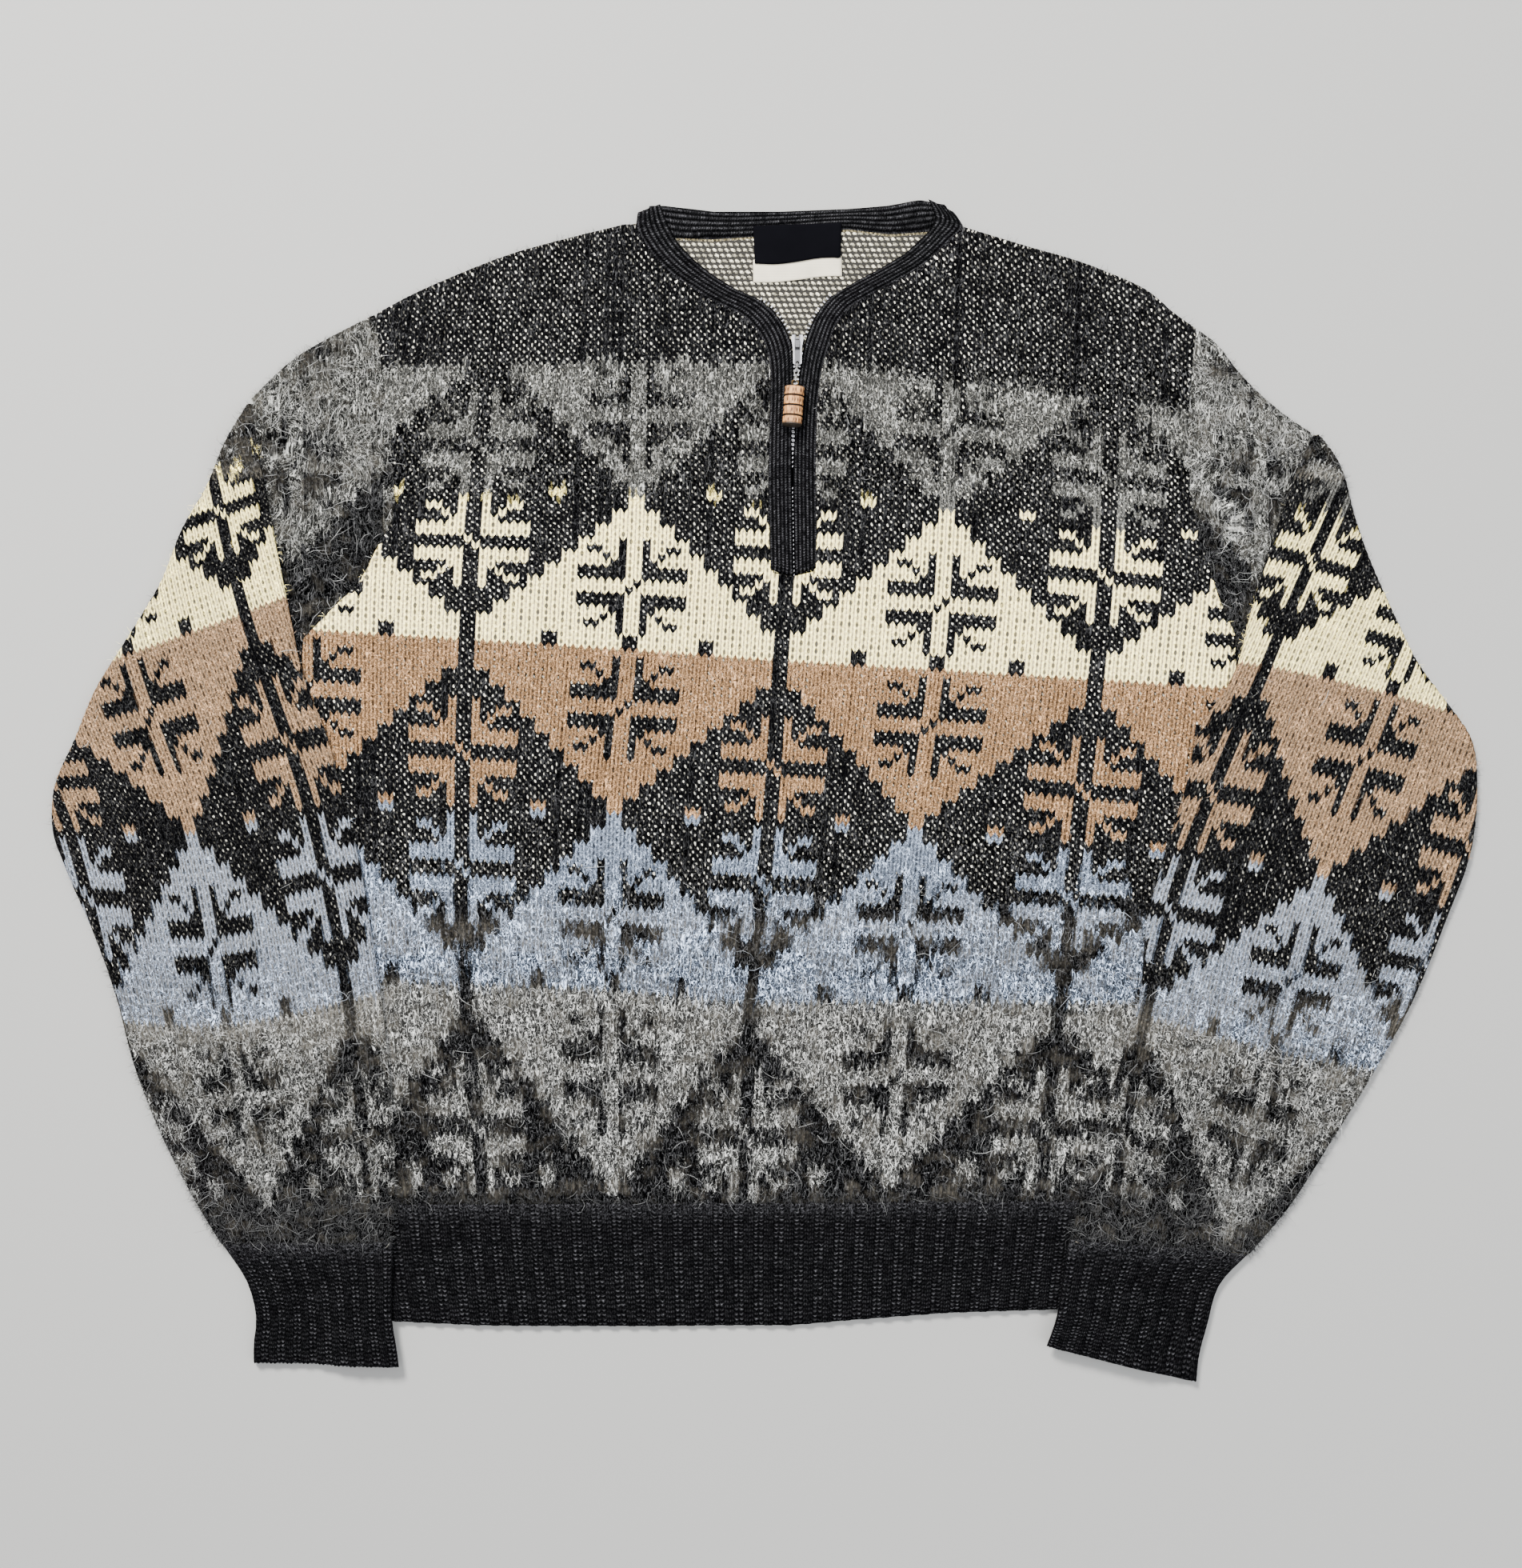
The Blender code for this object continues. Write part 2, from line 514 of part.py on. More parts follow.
def tube_rings(rows, armhole, side, sign, ribs=0):
    """Outer and inner rings of a flattened tube, row by row."""
    outer = []
    inner = []
    wall = RIB_WALL if ribs else WALL
    height = 2 * wall + LAYER
    for row in rows:
        width = math.dist((row.outer_x, row.outer_y), (row.inner_x, row.inner_y))
        low_columns = column_fractions(width)
        high_columns = [(t, 0.0) for t in low_columns[1:-1]]
        if ribs:
            inset = FOLD_INSET / width
            high_columns = [(low_columns[1], 0.0)]
            high_columns += [(lerp(inset, 1 - inset, t), rise) for t, rise in rib_columns(ribs)]
            high_columns += [(low_columns[-2], 0.0)]
        outer_ring = []
        inner_ring = []
        path = [(t, -1, 0.0) for t in low_columns] + [(t, 1, rise) for t, rise in reversed(high_columns)]
        for t, layer, rise in path:
            x, y = row_point(row, armhole, t)
            base = step_height(row, x, y, side, sign)
            in_from_edge = min(t, 1 - t) * width
            full = smooth(in_from_edge / FOLD_INSET)
            half = height / 2 * (1.0 if full >= 1 else 0.78 if in_from_edge > 0.5 else 0.0)
            lump = row.pleat * PLEAT_RISE * smooth((t - 0.15) / 0.5) * full if layer > 0 else 0.0
            z = base + height / 2 + layer * half + rise * RIB_RISE + lump
            outer_ring.append((x, y, max(z, 0.0)))
            inset = (wall + 0.55 * in_from_edge if in_from_edge < FOLD_INSET else in_from_edge) / width
            t_in = max(inset, min(t, 1 - t)) if t < 0.5 else 1 - max(inset, min(t, 1 - t))
            x, y = row_point(row, armhole, t_in)
            base = step_height(row, x, y, side, sign)
            gap = LAYER / 2 * (1.0 if in_from_edge >= FOLD_INSET else 0.5 if in_from_edge > 0.5 else 0.0)
            inner_ring.append((x, y, base + height / 2 + layer * gap))
        outer.append(outer_ring)
        inner.append(inner_ring)
    return outer, inner


def make_sleeves(collection):
    left_side = side_curve(True)
    right_side = side_curve(False)
    for name, rows, armhole, side, sign in (
            ("sleeve_left", LEFT_SLEEVE, LEFT_ARMHOLE, left_side, 1.0),
            ("sleeve_right", RIGHT_SLEEVE, RIGHT_ARMHOLE, right_side, -1.0)):
        outer, inner = tube_rings(rows, armhole, side, sign)
        cloth_tube(name, outer, inner, "mohair", collection)
    for name, rows, side, sign in (("cuff_left", LEFT_CUFF, left_side, 1.0),
                                   ("cuff_right", RIGHT_CUFF, right_side, -1.0)):
        outer, inner = tube_rings(rows, None, side, sign, ribs=CUFF_RIBS)
        cloth_tube(name, outer, inner, "rib", collection)


# ---------------------------------------------------------------- labels
def make_label(name, corners, low, slot, collection):
    rows = [[corners[0], corners[1]], [corners[2], corners[3]]]
    top = [[(x, y, low + LABEL_WALL) for x, y in row] for row in rows]
    bottom = [[(x, y, low) for x, y in row] for row in rows]
    return cloth_wall(name, top, bottom, slot, collection)


def make_labels(collection):
    make_label("label_size", [(-7.0, 317.5), (46.0, 319.5), (-6.0, 304.5), (46.0, 307.0)],
               BACK_TOP + SEAM, "label_white", collection)
    make_label("label_neck", [(-7.0, 337.5), (46.0, 339.5), (-6.0, 315.0), (45.5, 318.0)],
               BACK_TOP + BAND_RISE + SEAM + 0.4, "label_black", collection)


# ---------------------------------------------------------------- zip hardware
def prism(bm, outline, low, high, turn=None):
    """Closed prism over a plan outline; turn maps (u, v, w) to (x, y, z)."""
    place = turn or (lambda u, v, w: (u, v, w))
    rings = [[bm.verts.new(Vector(place(u, v, w)) * MM) for u, v in outline] for w in (low, high)]
    bm.faces.new(rings[0])
    bm.faces.new(rings[1])
    for j in range(len(outline)):
        k = (j + 1) % len(outline)
        bm.faces.new([rings[0][j], rings[0][k], rings[1][k], rings[1][j]])


def add_boolean(target, tool, operation):
    tool.hide_render = True
    tool.display_type = "WIRE"
    modifier = target.modifiers.new(operation.lower(), "BOOLEAN")
    modifier.operation = operation
    modifier.object = tool


def set_origin(made, x, y, z):
    """Move an object's origin to a point and leave its form where it is."""
    point = Vector((x, y, z)) * MM
    made.data.transform(Matrix.Translation(-point))
    made.location = point


def make_slider(collection, cutters):
    horns = SLIDER_HORNS / 2
    foot = SLIDER_FOOT / 2
    outline = [(-foot, SLIDER_FOOT_Y), (foot, SLIDER_FOOT_Y), (foot + 0.3, SLIDER_FOOT_Y + 3.0),
               (horns, SLIDER_TOP_Y - 2.2), (horns - 0.6, SLIDER_TOP_Y), (1.1, SLIDER_TOP_Y),
               (0.7, SLIDER_TOP_Y - 1.6), (-0.7, SLIDER_TOP_Y - 1.6), (-1.1, SLIDER_TOP_Y),
               (0.6 - horns, SLIDER_TOP_Y), (-horns, SLIDER_TOP_Y - 2.2),
               (-foot - 0.3, SLIDER_FOOT_Y + 3.0)]
    bm = bmesh.new()
    prism(bm, [(PULL_X + x, y) for x, y in outline], SLIDER_LOW, SLIDER_HIGH)
    slider = add_object("zip_slider", bm, "metal", collection, False)

    root = SLIDER_HIGH - 0.5
    crown = HINGE_Z + 2.1
    under = crown - 0.7
    arch = [(-2.7, root), (-2.0, root), (-2.0, under - 0.5), (-1.5, under), (1.5, under),
            (2.0, under - 0.5), (2.0, root), (2.7, root), (2.7, crown - 0.7), (2.0, crown),
            (-2.0, crown), (-2.7, crown - 0.7)]
    bm = bmesh.new()
    prism(bm, arch, -BRIDGE_WIDTH / 2, BRIDGE_WIDTH / 2,
          lambda u, v, w: (PULL_X + w, HINGE_Y + u, v))
    bridge = add_object("bridge_tool", bm, "metal", cutters, False)
    add_boolean(slider, bridge, "UNION")


def make_tab(collection, cutters):
    half = TAB_WIDTH / 2
    outline = [(-half, 0.6), (-half, -TAB_HOLE)]
    steps = 8
    for k in range(1, steps):
        angle = math.pi * k / steps
        outline.append((-half * math.cos(angle), -TAB_HOLE - (TAB_LENGTH - TAB_HOLE) * math.sin(angle)))
    outline += [(half, -TAB_HOLE), (half, 0.6)]
    bm = bmesh.new()
    prism(bm, [(PULL_X + x, HINGE_Y + y) for x, y in outline],
          HINGE_Z - TAB_WALL / 2, HINGE_Z + TAB_WALL / 2)
    tab = add_object("zip_tab", bm, "metal", collection, False)

    window = [(-1.6, -3.6), (1.6, -3.6), (1.6, -0.6), (-1.6, -0.6)]
    bm = bmesh.new()
    prism(bm, [(PULL_X + x, HINGE_Y + y) for x, y in window], HINGE_Z - 2, HINGE_Z + 2)
    add_boolean(tab, add_object("window_tool", bm, "metal", cutters, False), "DIFFERENCE")
    bm = bmesh.new()
    bmesh.ops.create_cone(bm, cap_ends=True, segments=16, radius1=HOLE_RADIUS * MM,
                          radius2=HOLE_RADIUS * MM, depth=4 * MM,
                          matrix=Matrix.Translation(Vector((PULL_X, HINGE_Y - TAB_HOLE, HINGE_Z)) * MM))
    add_boolean(tab, add_object("hole_tool", bm, "metal", cutters, False), "DIFFERENCE")
    set_origin(tab, PULL_X, HINGE_Y, HINGE_Z)


def wire_ring(bm, length, width, wire, frame, around=14, sides=6):
    """Oval wire ring: its long axis is the frame's X, its normal the frame's Z."""
    rings = []
    for i in range(around):
        a = 2 * math.pi * i / around
        centre = Vector(((length / 2 - wire) * math.cos(a), (width / 2 - wire) * math.sin(a), 0.0))
        out = Vector((math.cos(a), math.sin(a), 0.0))
        ring = []
        for j in range(sides):
            b = 2 * math.pi * j / sides
            offset = out * (wire * math.cos(b)) + Vector((0, 0, wire * math.sin(b)))
            ring.append(bm.verts.new((frame @ (centre + offset)) * MM))
        rings.append(ring)
    for i in range(around):
        here, there = rings[i], rings[(i + 1) % around]
        for j in range(sides):
            k = (j + 1) % sides
            bm.faces.new([here[j], here[k], there[k], there[j]])


def pull_frame():
    """Frame at the bead's upper end: X runs down along the bead."""
    down = Vector((-math.sin(BEAD_LEAN), -math.cos(BEAD_LEAN), 0.0))
    up = Vector((0.0, 0.0, 1.0))
    across = up.cross(down)
    turn = Matrix((down, across, up)).transposed().to_4x4()
    return Matrix.Translation(Vector((*BEAD_TOP, BEAD_Z))) @ turn


def make_pull(collection):
    frame = pull_frame()
    hook = Vector((PULL_X, HINGE_Y - TAB_HOLE, HINGE_Z))
    pivot = bpy.data.objects.new("pull_pivot", None)
    pivot.location = hook * MM
    collection.objects.link(pivot)

    droop = frame @ Matrix.Rotation(-EYE_TILT, 4, "Y")
    eye = droop @ Vector((-EYE_RADIUS - 0.9, 0.0, 0.0))
    width = 2 * EYE_RADIUS + 2 * EYE_WIRE
    bm = bmesh.new()
    wire_ring(bm, width, width, EYE_WIRE,
              Matrix.Translation(eye) @ droop.to_3x3().to_4x4(), 16)
    made = [add_object("pull_eye", bm, "metal", collection)]

    level = Vector((eye.x - hook.x, eye.y - hook.y, 0.0)).normalized()
    across = Vector((0, 0, 1)).cross(level)
    span = LINK_LENGTH - 2 * LINK_WIRE
    start = hook
    for k, slope in enumerate(LINK_SLOPES):
        rise = math.radians(slope)
        line = level * math.cos(rise) + Vector((0, 0, math.sin(rise)))
        side = across if k % 2 else across.cross(line)
        turn = Matrix((line, side, line.cross(side))).transposed().to_4x4()
        bm = bmesh.new()
        wire_ring(bm, LINK_LENGTH, LINK_WIDTH, LINK_WIRE,
                  Matrix.Translation(start + line * (span / 2)) @ turn, 12)
        made.append(add_object("pull_link_%d" % (k + 1), bm, "metal", collection))
        start = start + line * (span - LINK_HOLD)
    for piece in made:
        set_origin(piece, *hook)
        piece.parent = pivot
        piece.location = (0, 0, 0)


def make_bead(collection):
    """Turned wooden bead: four bands with grooves between them."""
    bands = 4
    pitch = BEAD_LENGTH / bands
    profile = [(0.0, 0.0)]
    for k in range(bands):
        start = k * pitch
        profile += [(BEAD_RADIUS - 0.7, start), (BEAD_RADIUS, start + 0.7),
                    (BEAD_RADIUS, start + pitch - 0.7)]
    profile += [(BEAD_RADIUS - 0.7, BEAD_LENGTH), (0.0, BEAD_LENGTH)]
    frame = pull_frame()
    sides = 20
    bm = bmesh.new()
    rings = []
    for radius, distance in profile:
        if radius == 0.0:
            rings.append([bm.verts.new((frame @ Vector((distance, 0, 0))) * MM)])
            continue
        ring = []
        for j in range(sides):
            a = 2 * math.pi * j / sides
            point = frame @ Vector((distance, radius * math.cos(a), radius * math.sin(a)))
            ring.append(bm.verts.new(point * MM))
        rings.append(ring)
    for here, there in zip(rings, rings[1:]):
        for j in range(sides):
            k = (j + 1) % sides
            corners = [here[j % len(here)], here[k % len(here)], there[k % len(there)], there[j % len(there)]]
            bm.faces.new(list(dict.fromkeys(corners)))
    bead = add_object("pull_bead", bm, "wood", collection)
    set_origin(bead, *(frame @ Vector((BEAD_LENGTH / 2, 0, 0))))


# ---------------------------------------------------------------- whole sweater
def main():
    for item in list(bpy.data.objects):
        bpy.data.objects.remove(item, do_unlink=True)
    sweater = bpy.data.collections.new("mohair_sweater")
    cutters = bpy.data.collections.new("cutters")
    bpy.context.scene.collection.children.link(sweater)
    bpy.context.scene.collection.children.link(cutters)

    make_back(sweater)
    make_front(sweater)
    make_hem(sweater)
    make_sleeves(sweater)
    make_band("band_left", LEFT_BAND, BAND_INNER, BAND_WALL, sweater)
    make_band("band_right", RIGHT_BAND, BAND_INNER, BAND_WALL, sweater)
    make_band("neckband_back", BACK_BAND, 0.0, WALL, sweater)
    make_tape("zip_tape_left", LEFT_BAND[7:], 0.35, sweater)
    make_tape("zip_tape_right", RIGHT_BAND[7:], -0.35, sweater)
    make_labels(sweater)
    make_slider(sweater, cutters)
    make_tab(sweater, cutters)
    make_pull(sweater)
    make_bead(sweater)


main()
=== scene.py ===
"""Looks of a half-zip mohair sweater that lies flat with its sleeves folded down.

Plan sizes are in millimetres in the frame of the CAD solids: +X to the right, +Y to the
neck, +Z up from the floor. A knit is described in wales (columns of stitches) and rows.
"""
import json
import math
from collections import namedtuple

import bmesh
import bpy
import numpy as np
from mathutils import Matrix, Vector

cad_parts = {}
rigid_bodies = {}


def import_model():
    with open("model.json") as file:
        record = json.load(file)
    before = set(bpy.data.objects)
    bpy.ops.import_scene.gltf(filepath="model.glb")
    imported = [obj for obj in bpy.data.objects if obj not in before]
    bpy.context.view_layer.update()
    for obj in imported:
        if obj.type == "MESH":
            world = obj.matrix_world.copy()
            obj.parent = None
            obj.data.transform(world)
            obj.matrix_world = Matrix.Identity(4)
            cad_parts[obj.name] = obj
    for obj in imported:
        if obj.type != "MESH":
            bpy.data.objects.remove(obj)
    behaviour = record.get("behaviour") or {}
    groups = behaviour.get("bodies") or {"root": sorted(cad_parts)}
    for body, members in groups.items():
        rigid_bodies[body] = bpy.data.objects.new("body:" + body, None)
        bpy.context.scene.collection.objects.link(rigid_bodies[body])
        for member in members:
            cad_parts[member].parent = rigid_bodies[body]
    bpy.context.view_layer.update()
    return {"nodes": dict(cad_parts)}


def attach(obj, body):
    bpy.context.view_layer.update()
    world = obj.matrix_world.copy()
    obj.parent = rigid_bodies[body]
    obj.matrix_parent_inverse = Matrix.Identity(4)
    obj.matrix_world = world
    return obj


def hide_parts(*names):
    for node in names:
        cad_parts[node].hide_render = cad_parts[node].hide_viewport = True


bl_info = {
    "name": "Mohair Sweater",
    "version": (1, 0, 0),
    "blender": (4, 5, 0),
    "location": "View3D > Sidebar > Sweater",
    "description": "Builds the knit, trims and zip pull of a patterned mohair sweater",
    "category": "Object",
}

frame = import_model()
MM = 0.001

# ---------------------------------------------------------------- plan of the sweater
KnitRow = namedtuple("KnitRow", "row places")       # places: (wale, x, y)
Edge = namedtuple("Edge", "left_x left_y right_x right_y")


def strip(*rows):
    """Edges of a strip of cloth, row by row."""
    return [Edge(*row) for row in rows]


def knit_map(wales, rows):
    """Lattice of a knit: for each row, its x and y at each of the wales."""
    return [KnitRow(row, [(wale, *at[2 * k:2 * k + 2]) for k, wale in enumerate(wales)])
            for row, at in rows.items()]


# Where the rows and wales of each knitted piece lie. Wale 0 is a dark stem of the pattern.
FRONT_KNIT = knit_map((-40, -20, 0, 20, 40), {
    0: (-165, 254.5, -75, 256, 18, 254.5, 111.5, 245, 207.5, 232.5),
    18: (-173, 176.5, -76.5, 175.5, 15.5, 171.5, 109, 167, 205.5, 156),
    40: (-178, 90, -81, 84, 9.5, 77.5, 102.5, 72, 198, 66),
    62: (-181, -9, -90, -13.5, 3, -18, 90, -22.5, 186.5, -31.5),
    84: (-179, -115.5, -91.5, -119, -8, -126.5, 82.5, -126, 177, -126.5),
    106: (-168.5, -241, -91, -241, -12.5, -245, 74, -236, 165, -238),
})
LEFT_SLEEVE_KNIT = knit_map((-40, -20, 0, 20), {
    18: (-460, 148, -396.5, 171, -331, 192.5, -270, 211.5),
    40: (-449.5, 57, -380, 81.5, -310.5, 106, -241.5, 131),
    62: (-416, -24, -343, -25.5, -271, -10, -198.5, 4.5),
    84: (-386.5, -138, -321.5, -140, -248, -125, -182, -106),
    106: (-352.5, -246, -297, -248, -235.5, -243.5, -175.5, -238.5),
})
RIGHT_SLEEVE_KNIT = knit_map((-20, 0, 20, 40), {
    18: (270.5, 181.5, 339, 164.5, 407.5, 138, 474.5, 109.5),
    40: (225, 79.5, 298.5, 74, 374, 57.5, 446, 35),
    62: (172.5, -25, 252.5, -35.5, 333, -51.5, 410, -70.5),
    84: (153, -118.5, 226.5, -134.5, 304.5, -155.5, 374, -168),
    106: (146, -217, 208.5, -238.5, 275.5, -267.5, 333, -284),
})
LEFT_CAP_KNIT = knit_map((-80, -60, -40), {
    -26: (-362, 345, -282, 330, -200, 330),
    18: (-360, 150, -280, 138, -200, 138),
    40: (-360, 50, -280, 40, -200, 40),
})
RIGHT_CAP_KNIT = knit_map((40, 60, 80), {
    -26: (215, 330, 298, 310, 385, 290),
    18: (212, 140, 295, 128, 380, 118),
    40: (210, 45, 292, 30, 378, 20),
})

LEFT_SHOULDER = [
    (-84, 338.5), (-118, 330), (-155, 319.5), (-183.5, 308.5), (-212, 296), (-233.5, 284.5),
]
RIGHT_SHOULDER = [
    (119, 337), (153.5, 326.5), (199.5, 312), (234, 295), (242.5, 287), (258, 276),
]
LEFT_ARMHOLE = [
    (-233.5, 284.5), (-230.5, 263), (-227, 234), (-223.5, 205.5), (-221.5, 181.5), (-222, 164.5),
    (-231.5, 146), (-242, 126), (-259, 108.5), (-276, 91),
]
RIGHT_ARMHOLE = [
    (258, 276), (256, 256), (254, 234), (253.5, 191), (256.5, 167), (260.5, 152.5), (265.5, 136.5),
    (270.5, 118), (276, 104.5), (281, 94.5),
]
SIDES = strip(
    (-277, 76, 282, 76), (-275.5, 42, 280, 42), (-273, -6, 273.5, -6), (-270, -54, 263.5, -54),
    (-265.5, -102, 252.5, -102), (-259.5, -150, 240.5, -150), (-252.5, -202.5, 229.5, -202.5),
    (-245, -248, 220, -246),
)
# The bands beside the neck opening and the zip, outer and inner edge, from the shoulder down.
LEFT_BAND = strip(
    (-76, 345.5, -62.5, 350.5), (-77, 337, -59.5, 341.5), (-69.5, 322.5, -52.5, 328),
    (-57.5, 309.5, -42, 317), (-44, 300, -30, 307.5), (-28, 290.5, -17.5, 300), (-14.5, 283.5, -4, 294),
    (-6, 275, 5, 287), (0, 265, 10.5, 279.5), (2.5, 252.5, 15.5, 269), (3, 238, 17, 252.5),
    (2.5, 217.5, 16.3, 224.5), (2, 188.5, 16, 191), (2.5, 160, 16.4, 160), (3, 132, 17, 128.5),
)
RIGHT_BAND = strip(
    (113.5, 345.5, 98, 353.5), (119, 337, 102.5, 342.5), (110, 327.5, 97.5, 333.5), (96, 314.5, 84, 321),
    (78.5, 304, 68, 311.5), (62, 295, 53, 303.5), (50, 287, 40, 295.5), (42.5, 276.5, 32, 286),
    (38.5, 264, 27.5, 277), (35, 252, 24, 266), (33, 238, 21.5, 252.5), (31.5, 217.5, 18.4, 224.5),
    (31, 188.5, 17.4, 191), (31.5, 160, 17.6, 160), (31.5, 133, 18.2, 128.5),
)
BACK_BAND = strip(
    (-69, 350.5, -73.5, 339), (-60.5, 350.5, -58, 330), (-30.5, 347, -31.5, 329), (9.5, 347, 9, 331.5),
    (50, 348.5, 50, 335), (74, 350.5, 75, 332), (93, 354, 97, 333.5), (108.5, 351, 114, 339.5),
)
# Folded edges of the sleeves below the pleat that starts at the underarm.
LEFT_TUBE = strip(
    (-310, 231, -306, 231), (-323, 207.5, -303, 207), (-334.5, 181.5, -298, 182),
    (-348.5, 157.5, -293, 155), (-361.5, 125, -287, 125), (-375, 102, -281.5, 98), (-387, 83, -277, 76),
    (-400, 62, -272, 60), (-413.5, 30, -263.5, 40), (-425.5, 1.5, -253.5, 6), (-426.5, -22.5, -246, -22.5),
    (-416.5, -51.5, -240, -49), (-403, -82.5, -235, -80), (-389, -121, -229, -118.5),
    (-377.5, -164, -224, -164), (-361, -206.5, -221, -202.5), (-343.5, -241, -220, -238.5),
    (-325, -272, -221.5, -269.5),
)
RIGHT_TUBE = strip(
    (331, 213, 327.5, 212), (345, 192.5, 318, 192), (353.5, 164, 308, 164), (360, 144.5, 301, 144.5),
    (370, 120.5, 293.5, 120), (380, 99, 287, 96), (391.5, 76, 281.5, 74), (406.5, 55.5, 274.5, 60),
    (423.5, 30, 261, 41), (426.5, 1.5, 250, -1), (422.5, -37.5, 238, -39.5), (407.5, -78.5, 227.5, -80),
    (388, -126, 223.5, -123.5), (363, -171.5, 210, -169), (338, -212, 200, -210), (313, -250.5, 189, -241),
    (290, -278, 182, -267.5),
)
LEFT_CAP_EDGE = [
    (-234, 284.5), (-248, 277.5), (-265, 268.5), (-282, 258), (-296, 245.5), (-310, 231),
]
RIGHT_CAP_EDGE = [
    (258.5, 276), (270.5, 267), (282.5, 251.5), (297, 236.5), (311.5, 224.5), (329.5, 212.5),
]
LEFT_CUFF = strip(
    (-325, -271, -221.5, -268.5), (-309, -296.5, -222, -294), (-304.5, -318.5, -221.5, -321),
    (-306, -331, -219.5, -332), (-306, -342.5, -218, -343.5),
)
RIGHT_CUFF = strip(
    (290, -277, 181.5, -266.5), (272, -296.5, 177.5, -291.5), (265, -320, 173.5, -315.5),
    (260, -339, 170.5, -324.5), (258.5, -354, 168, -331),
)
HEM_SIDES = strip(
    (-244.5, -247, 219.5, -245), (-240, -280, 214.5, -277), (-234, -317, 209.5, -309.5),
)
HEM_EDGE = [
    (-234, -317), (-171, -320), (-75, -320.5), (15.5, -320), (49.5, -317), (107.5, -312.5), (209.5, -309.5),
]

BACK_FLAT = 1.75                # inside face of the back panel
FRONT_LOW = 1.95                # inside face of the front panel
FRONT_TOP = 5.7
HEM_TOP = 5.0                   # between the ribs of the hem
BAND_LOW = 3.9
BAND_TOP = 6.3
TUBE_RADIUS = 2.75
SLEEVE_LIFT = 6.1               # a sleeve lies this much higher on the body than on the floor
LEAN = 0.8                      # rows that a stitch's leg climbs from its foot to its top
RELIEF = 0.8                    # height of a leg above the gaps between the legs
HEM_WALES, HEM_ROWS = 152, 28
CUFF_WALES = 36
RIB_ROW = 2.6                   # height of a row of the hem and the cuffs
BAND_ROW = 2.6                  # height of a row of the neck bands
RIB_RELIEF = 1.1
BAND_RELIEF = 0.55
TAPE_LOW, TAPE_TOP = 2.9, 3.45
TAPE_WIDTH = 9.0
SLIDER_X = 19.5
ZIP_OPEN, SLIDER_TOP = 262.0, 273.5     # along Y; the zip is open from the slider up
HIDDEN_TEETH = (181.0, 193.0)   # along Y; here the bands close over the teeth
PALE_HAIR = (196, 197, 196)
LONG_HAIRS, EDGE_HAIRS = 0.12, 0.2      # shares of the hairs
CAMERA_HEIGHT = 1.25            # metres, as the two sizes below
PICTURE_HEIGHT = 0.9408         # what the picture shows at the floor, from its top to its bottom
SENSOR_HEIGHT = 24.0            # millimetres


def left_of(rows, x=0, y=0):
    """Left edge of a strip, moved by x and y."""
    return [(e.left_x + x, e.left_y + y) for e in rows]


def right_of(rows, x=0, y=0):
    return [(e.right_x + x, e.right_y + y) for e in rows]


Sleeve = namedtuple("Sleeve", "side sign edge knit wales tube cuff armhole "
                              "cap_knit cap_wales cap_edge cap_shade")
# cap_shade: painted shade laid on the colours of the cap.
SLEEVES = [
    Sleeve("left", -1, left_of, LEFT_SLEEVE_KNIT, (-54, 26), LEFT_TUBE, LEFT_CUFF, LEFT_ARMHOLE,
           LEFT_CAP_KNIT, (-76, -40), LEFT_CAP_EDGE, 0.80),
    Sleeve("right", 1, right_of, RIGHT_SLEEVE_KNIT, (-26, 50), RIGHT_TUBE, RIGHT_CUFF, RIGHT_ARMHOLE,
           RIGHT_CAP_KNIT, (44, 84), RIGHT_CAP_EDGE, 0.95),
]

# ---------------------------------------------------------------- pattern
Band = namedtuple("Band", "yarn first last base light_motif dark_motif")
BODY_BANDS = [
    Band("smoke", 0, 18, -4, 7, 11),
    Band("cream", 18, 40, 40, 31, 25),
    Band("tan", 40, 62, 40, 48, 55),
    Band("blue", 62, 84, 84, 75, 70),
    Band("grey", 84, 106, 84, 93, 99),
]
CAP_BANDS = [Band("smoke", -26, -4, -4, -13, -19), Band("smoke", -4, 18, -4, 5, 11)]
SLEEVE_BANDS = CAP_BANDS + BODY_BANDS[1:]
# A quarter of the snow-crystal motif: rows outward from its middle, stitches outward from its stem.
MOTIF = ["......", "######", "######", "##....", "#.#...", "#..##.", "#....."]
REPEAT = 40

YARNS = ["charcoal", "smoke", "cream", "tan", "blue", "grey", "black"]


def linear(colour):
    """Linear colour of an sRGB one given from 0 to 255."""
    value = np.asarray(colour, float) / 255.0
    return np.where(value <= 0.04045, value / 12.92, ((value + 0.055) / 1.055) ** 2.4)


# ---------------------------------------------------------------- plan helpers
def curve(stops, values, at):
    """Smooth curve through the values at the stops, and straight past its ends."""
    stops = np.asarray(stops, float)
    values = np.asarray(values, float)
    at = np.asarray(at, float)
    slopes = np.gradient(values, stops)
    k = np.clip(np.searchsorted(stops, at) - 1, 0, len(stops) - 2)
    h = stops[k + 1] - stops[k]
    t = np.clip((at - stops[k]) / h, 0.0, 1.0)
    found = (values[k] * (1 + 2 * t) * (1 - t) ** 2 + values[k + 1] * t * t * (3 - 2 * t)
             + h * slopes[k] * t * (1 - t) ** 2 - h * slopes[k + 1] * t * t * (1 - t))
    return found + np.minimum(at - stops[0], 0) * slopes[0] + np.maximum(at - stops[-1], 0) * slopes[-1]


def smooth(t):
    t = np.clip(t, 0.0, 1.0)
    return t * t * (3.0 - 2.0 * t)


def spans(line):
    return np.linalg.norm(np.diff(line, axis=0), axis=1)


